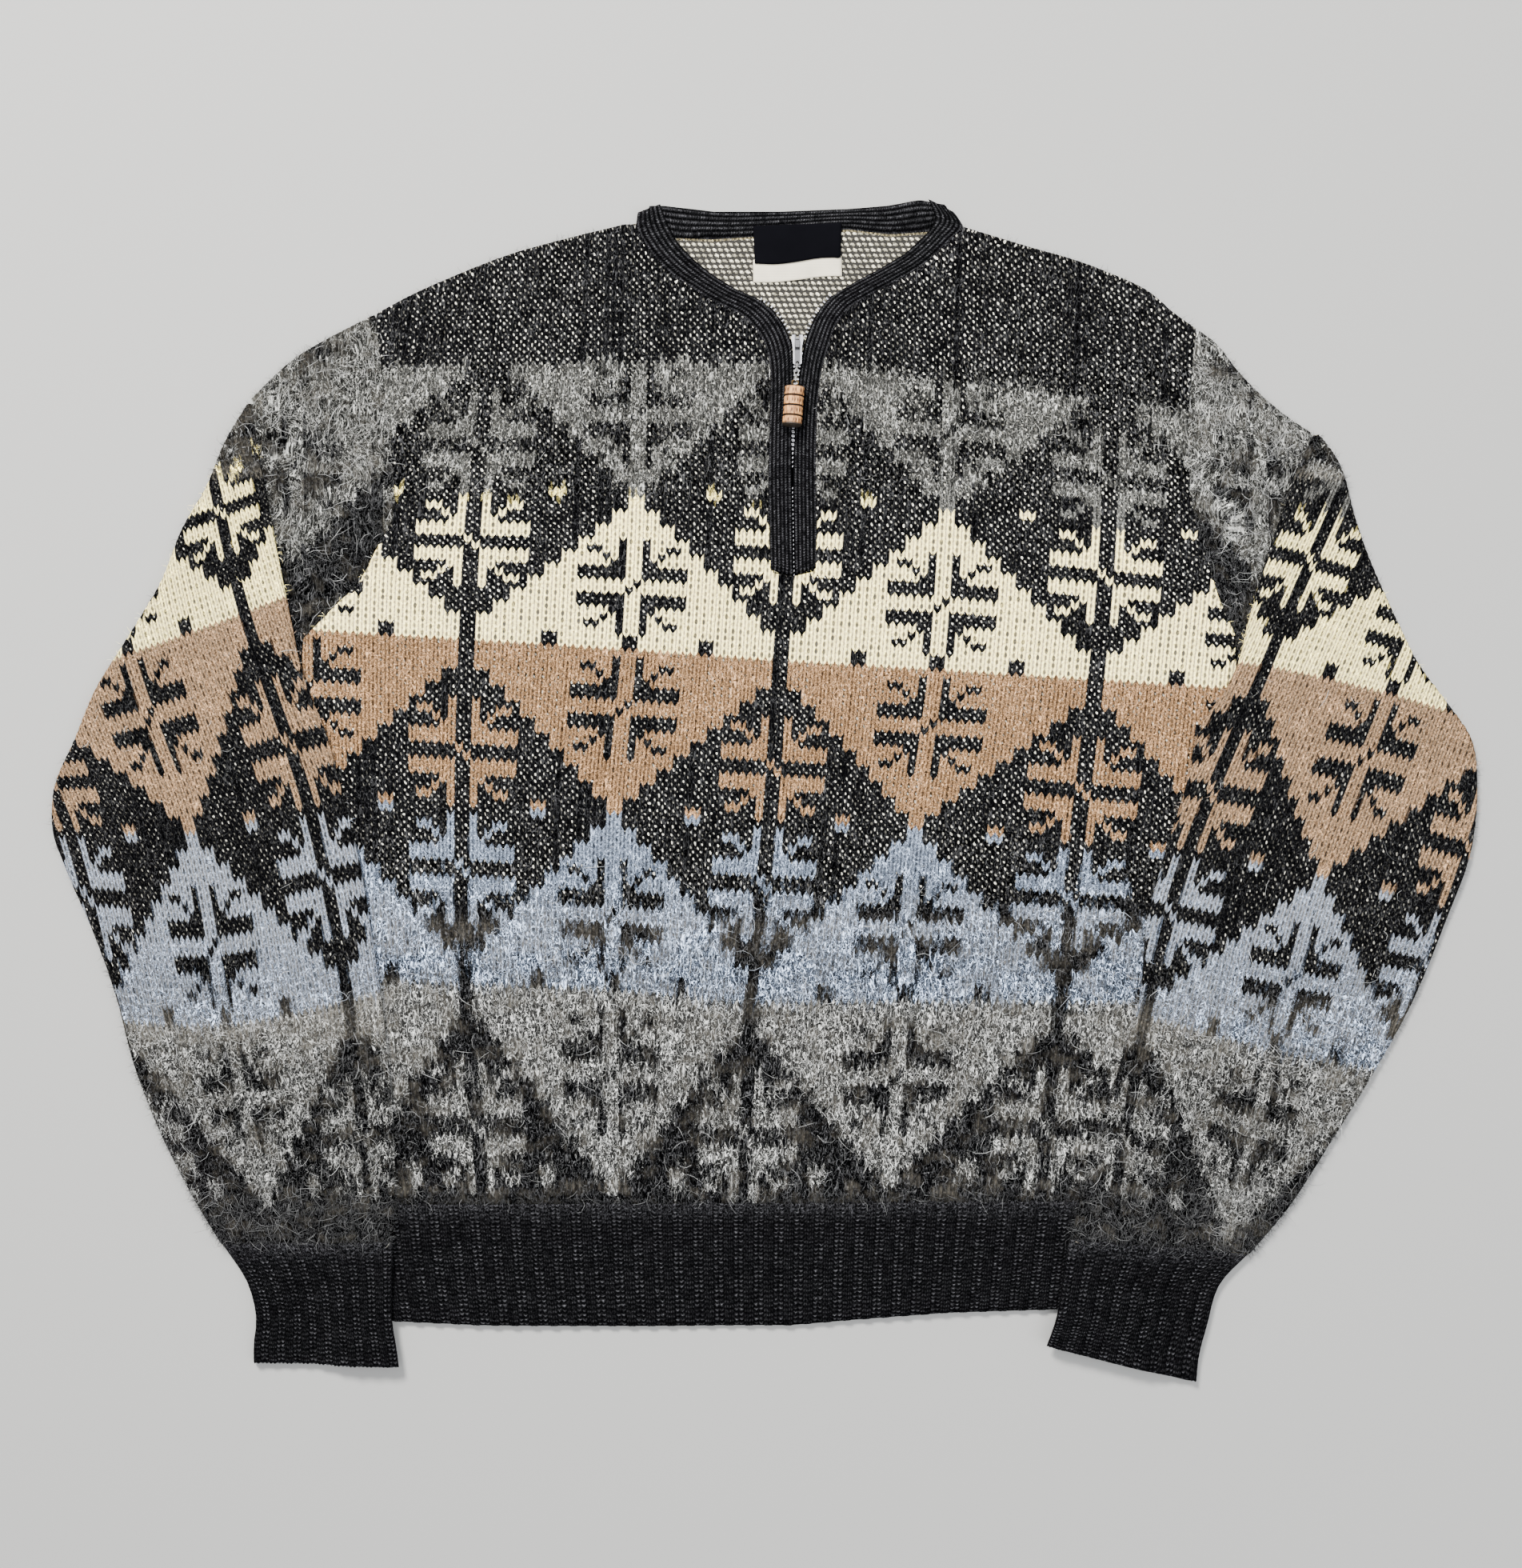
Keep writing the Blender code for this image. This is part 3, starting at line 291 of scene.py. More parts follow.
def lengths_along(line):
    """Length from a line's start to each of its points."""
    return np.concatenate([[0], np.cumsum(spans(line))])


def round_off(points, step=6.0):
    """Polyline through the points with more of them, on a smooth curve."""
    points = np.asarray(points, float)
    lengths = lengths_along(points)
    at = np.linspace(0, lengths[-1], max(2, int(lengths[-1] / step)))
    return np.stack([curve(lengths, points[:, 0], at), curve(lengths, points[:, 1], at)], axis=1)


def inside(outline, points):
    """Which points lie inside a closed outline."""
    found = np.zeros(len(points), bool)
    x, y = points[:, 0], points[:, 1]
    for (xa, ya), (xb, yb) in zip(outline, np.roll(outline, -1, axis=0)):
        if ya == yb:
            continue
        crosses = (ya > y) != (yb > y)
        found ^= crosses & (x < (xb - xa) * (y - ya) / (yb - ya) + xa)
    return found


def nearest(line, points, closed=False):
    """Nearest point of a line to each point, its distance, and the line's direction there."""
    best = np.full(len(points), 1e9)
    place = np.zeros((len(points), 2))
    heading = np.zeros((len(points), 2))
    ends = np.roll(line, -1, axis=0) if closed else line[1:]
    for a, b in zip(line, ends):
        d = b - a
        length = np.linalg.norm(d)
        if length < 1e-9:
            continue
        t = np.clip(((points - a) @ d) / length ** 2, 0, 1)
        q = a + t[:, None] * d
        far = np.linalg.norm(points - q, axis=1)
        closer = far < best
        best[closer] = far[closer]
        place[closer] = q[closer]
        heading[closer] = d / length
    return place, best, heading


def lay_out(knit, wales, rows, lean):
    """Plan points of a grid of wales and rows; the rows zigzag along the legs of the stitches."""
    stops = [k.row for k in knit]
    grid = np.zeros((len(rows), len(wales), 2))
    for j, wale in enumerate(wales):
        at = rows + lean * (0.5 - 2 * abs(wale % 1.0 - 0.5))
        for axis in (1, 2):
            along = [curve([p[0] for p in k.places], [p[axis] for p in k.places], wale) for k in knit]
            grid[:, j, axis - 1] = curve(stops, along, at)
    return grid


def lay_height(points):
    """Slow rises and falls of cloth that lies loosely."""
    x, y = points[..., 0], points[..., 1]
    return (0.32 * np.sin(x / 31.0 + 0.6 * np.sin(y / 40.0)) + 0.28 * np.sin(y / 37.0 + x / 55.0 + 1.3)
            + 0.15 * np.sin(x / 13.0 - y / 17.0))


def pattern(wale, row, bands):
    """Number of the yarn of each stitch."""
    wale = np.floor(wale).astype(int)
    row = np.floor(row).astype(int)
    c = (wale + 20) % REPEAT - 20
    out = np.where(c >= 0, c, -1 - c)               # stitches outward from a dark stem
    inn = 19 - out                                  # and inward from the middle of a light diamond
    yarn = np.zeros(wale.shape, int)
    marks = np.array([[letter == "#" for letter in line] for line in MOTIF])

    def motif_at(distance, centre):
        m = row - centre
        ring = np.where(m >= 0, m, -1 - m)
        ok = (ring < 7) & (distance > 0) & (distance < 7)
        hit = (distance == 0) & (((m == 0) & (c >= 0)) | ((m == -1) & (c < 0)))
        hit[ok] = marks[ring[ok], distance[ok] - 1]
        return hit

    for band in bands:
        number = YARNS.index(band.yarn)
        here = (row >= band.first) & (row < band.last)
        k = row - band.base if band.base <= band.first else band.base - 1 - row
        half = np.where(k < 4, 19, 17 - 2 * ((k - 4) // 2))
        light = here & (inn < half)
        yarn[light] = number
        yarn[light & motif_at(inn, band.light_motif)] = 0
        yarn[here & ~light & motif_at(out, band.dark_motif)] = number
    if bands is CAP_BANDS:
        return yarn
    dot = (out >= 9) & (out <= 10)
    for first, last, name in ((38, 39, "charcoal"), (82, 83, "charcoal"), (17, 17, "cream"), (61, 61, "tan"),
                              (62, 62, "blue"), (103, 104, "grey")):
        here = (row >= first) & (row <= last)
        yarn[here & (dot | ((inn == 0) & (name == "charcoal")))] = YARNS.index(name)
    return yarn


# ---------------------------------------------------------------- shader helpers
class Value:
    """A socket that can be used in sums."""

    def __init__(self, maker, socket):
        self.maker = maker
        self.socket = socket

    def clamp(self):
        return self.maker.node("ShaderNodeClamp", {}, {0: self})

    def zigzag(self):
        """1 at the whole numbers and 0 halfway between them."""
        return abs(self.fract() * 2 - 1)


def math_method(operation, swapped):
    """Method of Value that adds a maths node."""
    def method(value, *other):
        inputs = (*other, value) if swapped else (value, *other)
        return value.maker.node("ShaderNodeMath", {"operation": operation}, dict(enumerate(inputs)))
    return method


for method_name, operation_name in (
        ("__add__", "ADD"), ("__radd__", "ADD"), ("__sub__", "SUBTRACT"), ("__rsub__", "SUBTRACT"),
        ("__mul__", "MULTIPLY"), ("__rmul__", "MULTIPLY"), ("__truediv__", "DIVIDE"), ("__abs__", "ABSOLUTE"),
        ("fract", "FRACT"), ("floor", "FLOOR"), ("sine", "SINE"), ("above", "GREATER_THAN"),
        ("most", "MAXIMUM")):
    setattr(Value, method_name, math_method(operation_name, method_name.startswith("__r")))


class Finish:
    """A material under construction."""

    def __init__(self, name, roughness=1.0, metallic=0.0, specular=0.0):
        self.material = bpy.data.materials.new(name)
        self.material.use_nodes = True
        self.tree = self.material.node_tree
        self.shader = self.tree.nodes["Principled BSDF"]
        self.shader.inputs["Roughness"].default_value = roughness
        self.shader.inputs["Metallic"].default_value = metallic
        self.shader.inputs["Specular IOR Level"].default_value = specular

    def node(self, kind, settings, inputs, output=0):
        """Node of a kind, with values, sRGB colours or other nodes' outputs for its inputs."""
        made = self.tree.nodes.new(kind)
        for key, value in settings.items():
            setattr(made, key, value)
        for key, value in inputs.items():
            if isinstance(value, Value):
                self.tree.links.new(value.socket, made.inputs[key])
            elif isinstance(value, tuple) and len(value) == 3:
                made.inputs[key].default_value = (*[float(v) for v in linear(value)], 1.0)
            else:
                made.inputs[key].default_value = value
        return Value(self, made.outputs[output])

    def mix(self, factor, a, b, blend="MIX"):
        settings = {"data_type": "RGBA", "blend_type": blend, "clamp_factor": True}
        return self.node("ShaderNodeMix", settings, {0: factor, 6: a, 7: b}, 2)

    def shade(self, tone, colour):
        grey = self.node("ShaderNodeCombineColor", {}, {0: tone, 1: tone, 2: tone})
        return self.mix(1.0, colour, grey, "MULTIPLY")

    def noise(self, vector, scale, detail, rough=0.5, twist=0.0):
        return self.node("ShaderNodeTexNoise", {"noise_dimensions": "3D"},
                         {"Vector": vector, "Scale": scale, "Detail": detail, "Roughness": rough,
                          "Distortion": twist})

    def dice(self, x, y):
        return self.node("ShaderNodeTexWhiteNoise", {"noise_dimensions": "2D"}, {"Vector": self.vector(x, y)})

    def vector(self, x, y, z=0.0):
        return self.node("ShaderNodeCombineXYZ", {}, {0: x, 1: y, 2: z})

    def place(self, kind="Object"):
        return self.node("ShaderNodeTexCoord", {}, {}, kind)

    def attribute(self, name, output=0):
        return self.node("ShaderNodeAttribute", {"attribute_name": name}, {}, output)

    def axes(self, vector):
        made = self.tree.nodes.new("ShaderNodeSeparateXYZ")
        self.tree.links.new(vector.socket, made.inputs[0])
        return [Value(self, made.outputs[k]) for k in range(3)]

    def set(self, **sockets):
        for name, value in sockets.items():
            self.tree.links.new(value.socket, self.shader.inputs[name.replace("_", " ")])

    def bump(self, height, strength, distance):
        inputs = {"Strength": strength, "Distance": distance, "Height": height}
        self.set(Normal=self.node("ShaderNodeBump", {}, inputs))


def fuzz(f, place, scale, stretch, fineness, swirl=0.0):
    """Thin curled lines, as of loose fibres, longer along Y where they are stretched."""
    x, y, z = f.axes(place)
    if swirl:
        x = x + (f.noise(place, 38.0, 1.0) - 0.5) * swirl
        y = y + (f.noise(f.vector(y, x, z), 38.0, 1.0) - 0.5) * swirl
    first = 1 - abs(f.noise(f.vector(x * stretch, y / stretch, z), scale, 1.0, 0.5, 0.8) - 0.5) * fineness
    second = 1 - abs(f.noise(f.vector(y + 0.7, x * 1.2, z), scale * 1.2, 1.0, 0.5, 1.2) - 0.5) * fineness * 1.3
    return first.clamp().most(second.clamp() * 0.8)


def knit_finish(name, stretch, swirl=0.0):
    """Brushed stocking stitch: strands with painted shade at their edges, gaps of painted shade or specks in
    the stitches, and a haze of nap in painted light and shade.
    """
    f = Finish(name)
    u, v, _ = f.axes(f.place("UV"))
    yarn = f.attribute("yarn")
    heather = f.attribute("yarn", 3)
    border = u.zigzag()                             # 1 between two wales, 0 in the middle of one
    level = v - LEAN * (0.5 - border)
    shifted = level + LEAN / 2 + 0.5
    place = f.place("Object")
    wobble = f.noise(f.vector(u * 0.9, v * 0.9), 1.0, 2.0) - 0.5

    def spots(across, along, seed, wide):
        """Short marks, one in each stitch, of uneven size, tilt and strength."""
        luck = f.dice(across.floor() + seed, along.floor())
        tall = f.dice(along.floor(), across.floor() + seed + 31)
        dy = along.fract() - 0.5 + (luck - 0.5) * 0.25
        dx = (across.fract() - 0.5 + (tall - 0.5) * 0.22 + dy * 0.25) * wide
        return (1.3 - (dx * dx * 74.0 + dy * dy * (16.0 + 44.0 * tall))).clamp() * (luck * luck * 1.1 + 0.12)

    column = f.dice(u.floor(), 7.0)
    patch = f.noise(f.vector(u * 0.22, v * 0.09), 1.0, 3.0) - 0.5
    first = spots(u + wobble * 0.6, shifted, 0.0, 1.0) * (1.0 + (column - 0.5) * 2.4 + patch * 3.0)
    second = spots(u + 0.5 + wobble * 0.6, shifted + 0.5, 60.0, 1.2) * (0.75 + patch * 3.0)
    speck = (first * 1.5).most(second) * (heather * 1.5 - 0.5).clamp()
    gap_y = shifted.fract() - 0.5
    uneven = f.dice(u.floor(), shifted.floor())
    plain = 1 - (heather * 3.0).clamp()             # 1 for a yarn of one colour
    # Holes and slits between the stitches are painted dark: painted shade in the gaps of the knit.
    round_gap = border * border * (15.0 - plain * 7.0) + gap_y * gap_y * (9.5 - plain)
    hole = ((1.25 + uneven * 0.6) - round_gap).clamp()
    slit = ((border - 0.76) * 7).clamp() * (1.1 - abs((shifted + 0.5).fract() - 0.5) * 2.6).clamp()
    leg = (u * 2).zigzag()
    strand = 1 - leg * leg
    fibres = ((f.noise(f.vector(u * 4.2, level * 3.0), 1.0, 3.0, 0.7) - 0.5) * 2.3 + 0.5).clamp()
    clumps = f.noise(place, 95.0, 2.0, 0.5) - 0.5
    curls = (fuzz(f, place, 275.0, stretch, 16.0, swirl) * 2.2 - 0.85).clamp()
    brushed = f.attribute("nap", 2)
    nap = (brushed * (1 + clumps * 0.9) + heather * 0.62).clamp()
    flecks = (f.noise(f.vector(u * 5.0, level * 6.5), 1.0, 2.0, 0.6) * 6.0 - 2.9).clamp()
    flecks = flecks * (heather * 3.0).clamp()
    # Painted shade at the edges of each leg and light along its middle, times fibre noise and the flecks of a
    # heathered yarn.
    tone = (0.34 - plain * 0.08 + (0.72 + plain * 0.05) * strand) * (0.25 + fibres * 1.5 + plain * 0.25)
    tone = tone * (0.78 + flecks * 2.6 + plain * 0.5)
    # The yarn turned greyer towards the edges of the legs, the colour of their painted shade.
    shade_tinted_yarn = f.mix(plain * (1 - strand * 0.9) * 0.75, yarn, (236, 226, 206))
    # Colour of the painted shade in the gaps: a small share of the yarn, greyer for yarn of one colour.
    dark = f.shade(0.05 + plain * 0.06, f.mix(plain, yarn, (228, 222, 206)))
    gap_shade = (hole * (0.60 + uneven * 0.5)).most(slit * (1.2 - uneven * 0.8 - plain * 0.4))
    stitch = f.mix(gap_shade, f.shade(tone, shade_tinted_yarn), dark)
    # Nap: its fibres are painted lit, brighter and paler than the yarn, with painted shade between them.
    lit = f.mix(0.05, f.mix(1.0, yarn, (5.0, 5.0, 5.0, 1.0), "MULTIPLY"), (225, 226, 222))
    cloud = f.mix(curls, f.shade(0.02 + fibres * 0.30, yarn), lit)
    base = f.mix(nap, stitch, f.shade((1.0 + clumps * 2.4) * (0.30 + fibres * 1.4), cloud))
    f.set(Base_Color=f.mix((speck * (1.5 - brushed * 1.3).clamp()).clamp(), base, (236, 232, 216)))
    f.bump(strand * 0.8 + fibres * 0.7 + curls * 0.6 - hole * 0.8, 0.9, 0.0010)
    return f.material


def rib_finish(name, wide):
    """Black ribbing: smooth wales and wales with bars across, with painted highlights on them."""
    f = Finish(name)
    u, v, _ = f.axes(f.place("UV"))
    yarn = f.attribute("yarn")
    luck = f.dice(u.floor(), v.floor())
    drift = (f.noise(f.vector(u * 0.8, v * 0.8), 1.0, 2.0) - 0.5) * 0.9
    bar = 1 - ((v + drift) * (1.0 if wide else 1.7)).zigzag()
    leg = 1 - (u * 2).zigzag()
    slant = 1 - (v + abs(u.fract() - 0.5) * 1.2).zigzag()
    fibres = f.noise(f.vector(u * 3.0, v * 3.0), 1.0, 4.0, 0.65)
    bead = 1 - u.zigzag()
    if wide:
        purl = (u / 4).fract().above(0.5)
        shine = purl * bar * bar * bar * bead * 1.9 + (1 - purl) * slant * slant * leg * 0.8
        height = bar * purl + slant * leg * (1 - purl)
        fluff = (1 + v / 5).clamp() * 0.75 + 0.10
    else:
        shine = (0.35 + bar) * bead * bead * 0.9
        height = bar
        fluff = 0.07
    # Painted highlights: glints on the bars and down the middle of each wale, in a pale grey.
    glint = shine * (fibres * 4.0 - 1.5).clamp() * (0.25 + luck)
    base = f.mix((glint * (0.62 if wide else 0.85)).clamp(), f.shade(0.15 + fibres * 0.8, yarn),
                 (84, 84, 87))
    curls = (fuzz(f, f.place("Object"), 330.0, 1.2, 26.0) * 1.6 - 0.5).clamp()
    f.set(Base_Color=f.mix(curls * fluff, base, (66, 66, 69)))
    f.bump(height + fibres * 0.5, 0.8, 0.0008)
    return f.material


def wrong_side_finish(name):
    """Inside of the knit: pale bumps in rows that lean, with dark yarn between them."""
    f = Finish(name)
    u, v, _ = f.axes(f.place("UV"))
    row = v.floor()
    du = (u + row * 0.36 + v.fract() * 0.45).fract() - 0.5
    dv = v.fract() - 0.5
    stitch = f.dice((u + row * 0.36).floor(), row)
    fibres = f.noise(f.vector(u * 4.0, v * 4.0), 1.0, 4.0, 0.7)
    bump = (1.5 - (du * du * 8.0 + dv * dv * 10.0) + (fibres - 0.5) * 4.6).clamp()
    pale = f.shade((0.35 + stitch * 1.1) * (0.1 + fibres * 1.8), (200, 194, 172))
    dark = f.shade(fibres * 1.8, (46, 45, 43))
    f.set(Base_Color=f.mix(bump, dark, pale))
    f.bump(bump + fibres * 0.4, 0.9, 0.0009)
    return f.material


def hair_finish(name):
    """Single mohair fibres."""
    f = Finish(name, roughness=0.55, specular=0.3)
    f.set(Base_Color=f.attribute("yarn"))
    return f.material


def weave_finish(name, colour, size):
    """Plain woven cloth."""
    f = Finish(name)
    x, y, _ = f.axes(f.place())
    across = (x * (math.tau / size)).sine()
    along = (y * (math.tau / size)).sine()
    cloud = f.noise(f.place(), 90.0, 3.0)
    tone = 0.78 + 0.10 * across * along + 0.06 * along + (cloud - 0.5) * 0.35
    f.set(Base_Color=f.shade(tone, colour))
    f.bump(across * along, 0.15, 0.0001)
    return f.material


def metal_finish(name, colour, roughness, middle=None):
    """Plated metal with light wear, and a band of painted shade along the middle line where that is given."""
    f = Finish(name, roughness=roughness, metallic=1.0, specular=0.5)
    cloud = f.noise(f.place(), 700.0, 4.0, 0.6)
    scratches = f.noise(f.place(), 2600.0, 2.0)
    tone = 0.6 + cloud * 0.7
    # Where a middle line is given, a band along it is darkened: painted shade.
    if middle:
        x = f.axes(f.place())[0]
        tone = tone * (0.26 + (abs(x - middle) * 1700 - 2.4).clamp() * 0.6)
    f.set(Base_Color=f.shade(tone, colour), Roughness=(roughness + (scratches - 0.5) * 0.3).clamp())
    f.bump(cloud + scratches * 0.4, 0.15, 0.0002)
    return f.material


def wood_finish(name):
    """Turned wood: bands with rows of notches and grooves between them, both darkened as painted shade, and a
    dark end that is partly its own colour and partly painted shade.
    """
    f = Finish(name, roughness=0.6, specular=0.3)
    x, y, z = f.axes(f.place())
    lean = math.radians(4.3)                        # the bead's axis leans so much off the Y axis
    top_x, top_y, long = 0.0179, 0.240, 0.0236
    along = ((x - top_x) * -math.sin(lean) + (y - top_y) * -math.cos(lean)) / long
    across = ((x - top_x) * math.cos(lean) - (y - top_y) * math.sin(lean)) / 0.0016
    side = abs((along * 4).fract() - 0.5)           # 0 in the middle of a band, 0.5 in a groove
    groove = ((side * 2 - 0.76) * 7.0).clamp()
    grain = f.noise(f.vector(x * 900, y * 220, z * 900), 1.0, 4.0, 0.6)
    notch = f.dice((along * 4).floor(), across.floor()).above(0.42)
    marks = notch * (side * -6 + 1.5).clamp() * (abs(across.fract() - 0.5) * -6 + 1.9).clamp()
    base = f.mix(((grain - 0.5) * 3 + 0.5).clamp(), (96, 58, 32), (196, 144, 92))
    # Grooves and notches painted dark: painted shade in the recesses.
    base = f.mix(groove, base, (22, 12, 8))
    base = f.mix(marks * 0.85, base, (44, 24, 16))
    # The lower end darker: partly its own colour, partly painted shade.
    base = f.mix(((along - 0.90) * 20).clamp(), base, (34, 26, 18))
    f.set(Base_Color=base)
    f.bump(grain * 0.3 - groove - marks * 0.6, 0.6, 0.0006)
    return f.material


# ---------------------------------------------------------------- yarn colours
YARN_LOOKS = {                  # colour, and how uneven the yarn is; above a third, pale specks show
    "charcoal": ((11, 11, 13), 1.0), "smoke": ((84, 84, 81), 0.62), "cream": ((252, 233, 143), 0.0),
    "tan": ((131, 101, 72), 0.45), "blue": ((106, 117, 134), 0.30), "grey": ((92, 92, 90), 0.30),
    "black": ((5, 5, 6), 0.0),
}


def looks_of(yarns):
    colours = np.zeros((len(yarns), 4))
    sizes = bpy.context.scene.sweater_sizes
    for number, name in enumerate(YARNS):
        chosen = yarns == number
        colours[chosen, :3] = getattr(sizes, name)
        colours[chosen, 3] = YARN_LOOKS[name][1]
    return colours


def stray(wale, row, seed, length=1.6):
    """Value from -1 to 1 for each strand that changes along its length."""
    table = np.random.default_rng(seed).uniform(-1, 1, (211, 97))
    strand = np.floor(wale * 3 + 0.4 * np.sin(row * 0.9)).astype(int) % 211
    at = row / length + strand * 0.37
    k = np.floor(at).astype(int)
    t = at - k
    return table[strand, k % 97] * (1 - t) + table[strand, (k + 1) % 97] * t


def charted(bands, seed, specks=1.0, shade=1.0):
    """Colouring by the chart: brushed yarn hides where one colour ends."""
    def colour(wale, row, nap):
        reach = np.where(row < 19, np.where(row < 6, 0.9, 0.45), 0.10 + 0.45 * nap ** 1.5)
        found = np.zeros((len(wale), 4))
        for k, weight in enumerate((0.6, 0.25, 0.15)):
            up = stray(wale, row, seed + 3 * k)
            along = stray(wale, row, seed + 50 + 3 * k, 3.0)
            yarns = pattern(wale + 0.40 * along * nap * (1 + k), row + reach * up * (1 + k), bands)
            mine = np.where(nap > 0.15, weight, 1.0 if k == 0 else 0.0)
            found += looks_of(yarns) * mine[:, None]
        rng = np.random.default_rng(seed)
        spread = 0.05 + 0.16 * nap
        # shade darkens all colours of a piece: painted shade, as on the sleeves and more on the left cap;
        # spread is an uneven tone of the yarn.
        found[:, :3] *= shade * np.clip(1 + spread * rng.standard_normal(len(wale)), 0.35, 2.0)[:, None]
        found[:, 3] *= specks * (1 - 0.9 * smooth((nap - 0.4) / 0.4)) * np.where(row > 105, 0.2, 1.0)
        return found
    return colour


def plain_yarn(name, seed, spread=0.12):
    """Colouring with one yarn of slightly uneven tone."""
    def colour(wale, row, nap):
        found = looks_of(np.full(len(wale), YARNS.index(name)))
        tone = 1 + spread * np.random.default_rng(seed).standard_normal(len(wale))
        found[:, :3] *= np.clip(tone, 0.5, 1.6)[:, None]
        return found
    return colour


# ---------------------------------------------------------------- relief of the knits
def stocking(wale, row):
    """Two legs to a wale, with a gap beside them and a shallower one between them."""
    phase = wale % 1.0
    legs = np.sin(math.tau * (2 * phase - 0.25)) * 0.5 + 0.5
    return RELIEF * np.maximum(legs, np.where(np.abs(phase - 0.5) < 0.1, 0.25, 0.0))


def wide_rib(wale, row):
    """Two smooth wales that stand up, then two low ones with a bar in each row."""
    phase = wale % 4.0
    crest = smooth((1.0 - np.abs(phase - 1.0)) / 0.45)
    groove = 0.22 * (np.abs(phase - 1.0) < 0.1)
    bars = 0.3 * (1 - crest) * (0.5 - 0.5 * np.cos(math.tau * row))
    return RIB_RELIEF * (crest - groove + bars)


def fine_rib(wale, row):
    return BAND_RELIEF * (np.sin(math.pi * (wale % 1.0)) ** 2 + 0.15 * np.cos(math.tau * row))


def purl_bumps(wale, row):
    shifted = (wale + np.floor(-row) * 0.36 + (-row % 1.0) * 0.45) % 1.0 - 0.5
    level = -row % 1.0 - 0.5
    return 0.75 * smooth(1.25 - shifted ** 2 * 7 - level ** 2 * 6)


def no_relief(wale, row):
    return 0.0 * wale


def no_lay(points):
    return 0.0 * points[:, 0]


WIDE_RIB = {"relief": wide_rib, "lean": 0.25}
SMOOTH = {"relief": no_relief, "fine": 1, "lean": 0.0}


# ---------------------------------------------------------------- cloth meshes
def link(name, mesh):
    made = bpy.data.objects.new(name, mesh)
    bpy.context.scene.collection.objects.link(made)
    return made


def make_cloth(name, points, faces, uvs, colours, naps, finish):
    """Closed mesh piece from points in millimetres, with stitch coordinates and a colour for each face."""
    mesh = bpy.data.meshes.new(name)
    mesh.from_pydata((np.asarray(points) * MM).tolist(), [], faces)
    mesh.update()
    totals = np.array([len(face) for face in faces])
    corners = np.concatenate([np.asarray(face) for face in faces])
    layer = mesh.uv_layers.new(name="stitches")
    layer.data.foreach_set("uv", np.asarray(uvs, np.float32)[corners].ravel())
    attribute = mesh.color_attributes.new("yarn", "FLOAT_COLOR", "CORNER")
    attribute.data.foreach_set("color", np.repeat(np.asarray(colours, np.float32), totals, axis=0).ravel())
    attribute = mesh.attributes.new("nap", "FLOAT", "POINT")
    attribute.data.foreach_set("value", np.asarray(naps, np.float32))
    bm = bmesh.new()
    bm.from_mesh(mesh)
    if bm.calc_volume(signed=True) < 0:
        bmesh.ops.reverse_faces(bm, faces=bm.faces)
        bm.to_mesh(mesh)
    bm.free()
    mesh.shade_smooth()
    mesh.materials.append(finish)
    return link(name, mesh)


def tidy_mask(keep):
    """Drop cells until none hangs on by one side or touches another at a corner alone."""
    changed = True
    while changed:
        padded = np.pad(keep, 1)
        sides = (padded[:-2, 1:-1].astype(int) + padded[2:, 1:-1] + padded[1:-1, :-2] + padded[1:-1, 2:])
        lonely = keep & (sides < 2)
        keep = keep & ~lonely
        a, b, c, d = keep[:-1, :-1], keep[:-1, 1:], keep[1:, :-1], keep[1:, 1:]
        first = a & d & ~b & ~c
        second = b & c & ~a & ~d
        changed = bool(lonely.any() or first.any() or second.any())
        if first.any() or second.any():
            keep = keep.copy()
            keep[:-1, :-1] &= ~first
            keep[:-1, 1:] &= ~second
    return keep


def nap_at(points):
    """How thick the nap is: brushed most on the lower body and a little on the chest."""
    y = points[:, 1]
    low = smooth((6.0 - y) / 120.0) * 0.95
    chest = 0.50 * smooth((262.0 - y) / 12.0) * smooth((y - 168.0) / 16.0)
    return np.clip(np.maximum(low, chest), 0.05, 1.0)


def sleeve_nap(points):
    """Nap of the sleeves: thick above the cream and below the tan."""
    y = points[:, 1]
    return np.maximum(0.9 * smooth((y - 176.0) / 20.0), 0.18 + 0.82 * smooth((-60.0 - y) / 120.0))


def cap_nap(points):
    return np.full(len(points), 0.95)


def lattice_of(knit, wales, rows, fine, step, lean):
    """Wales, rows and plan points of the mesh of a knit."""
    w = np.arange(int(wales[0] * fine), int(wales[1] * fine) + 1) / fine
    r = np.arange(rows[0], rows[1] + step / 2, step)
    return w, r, lay_out(knit, w, r, lean)


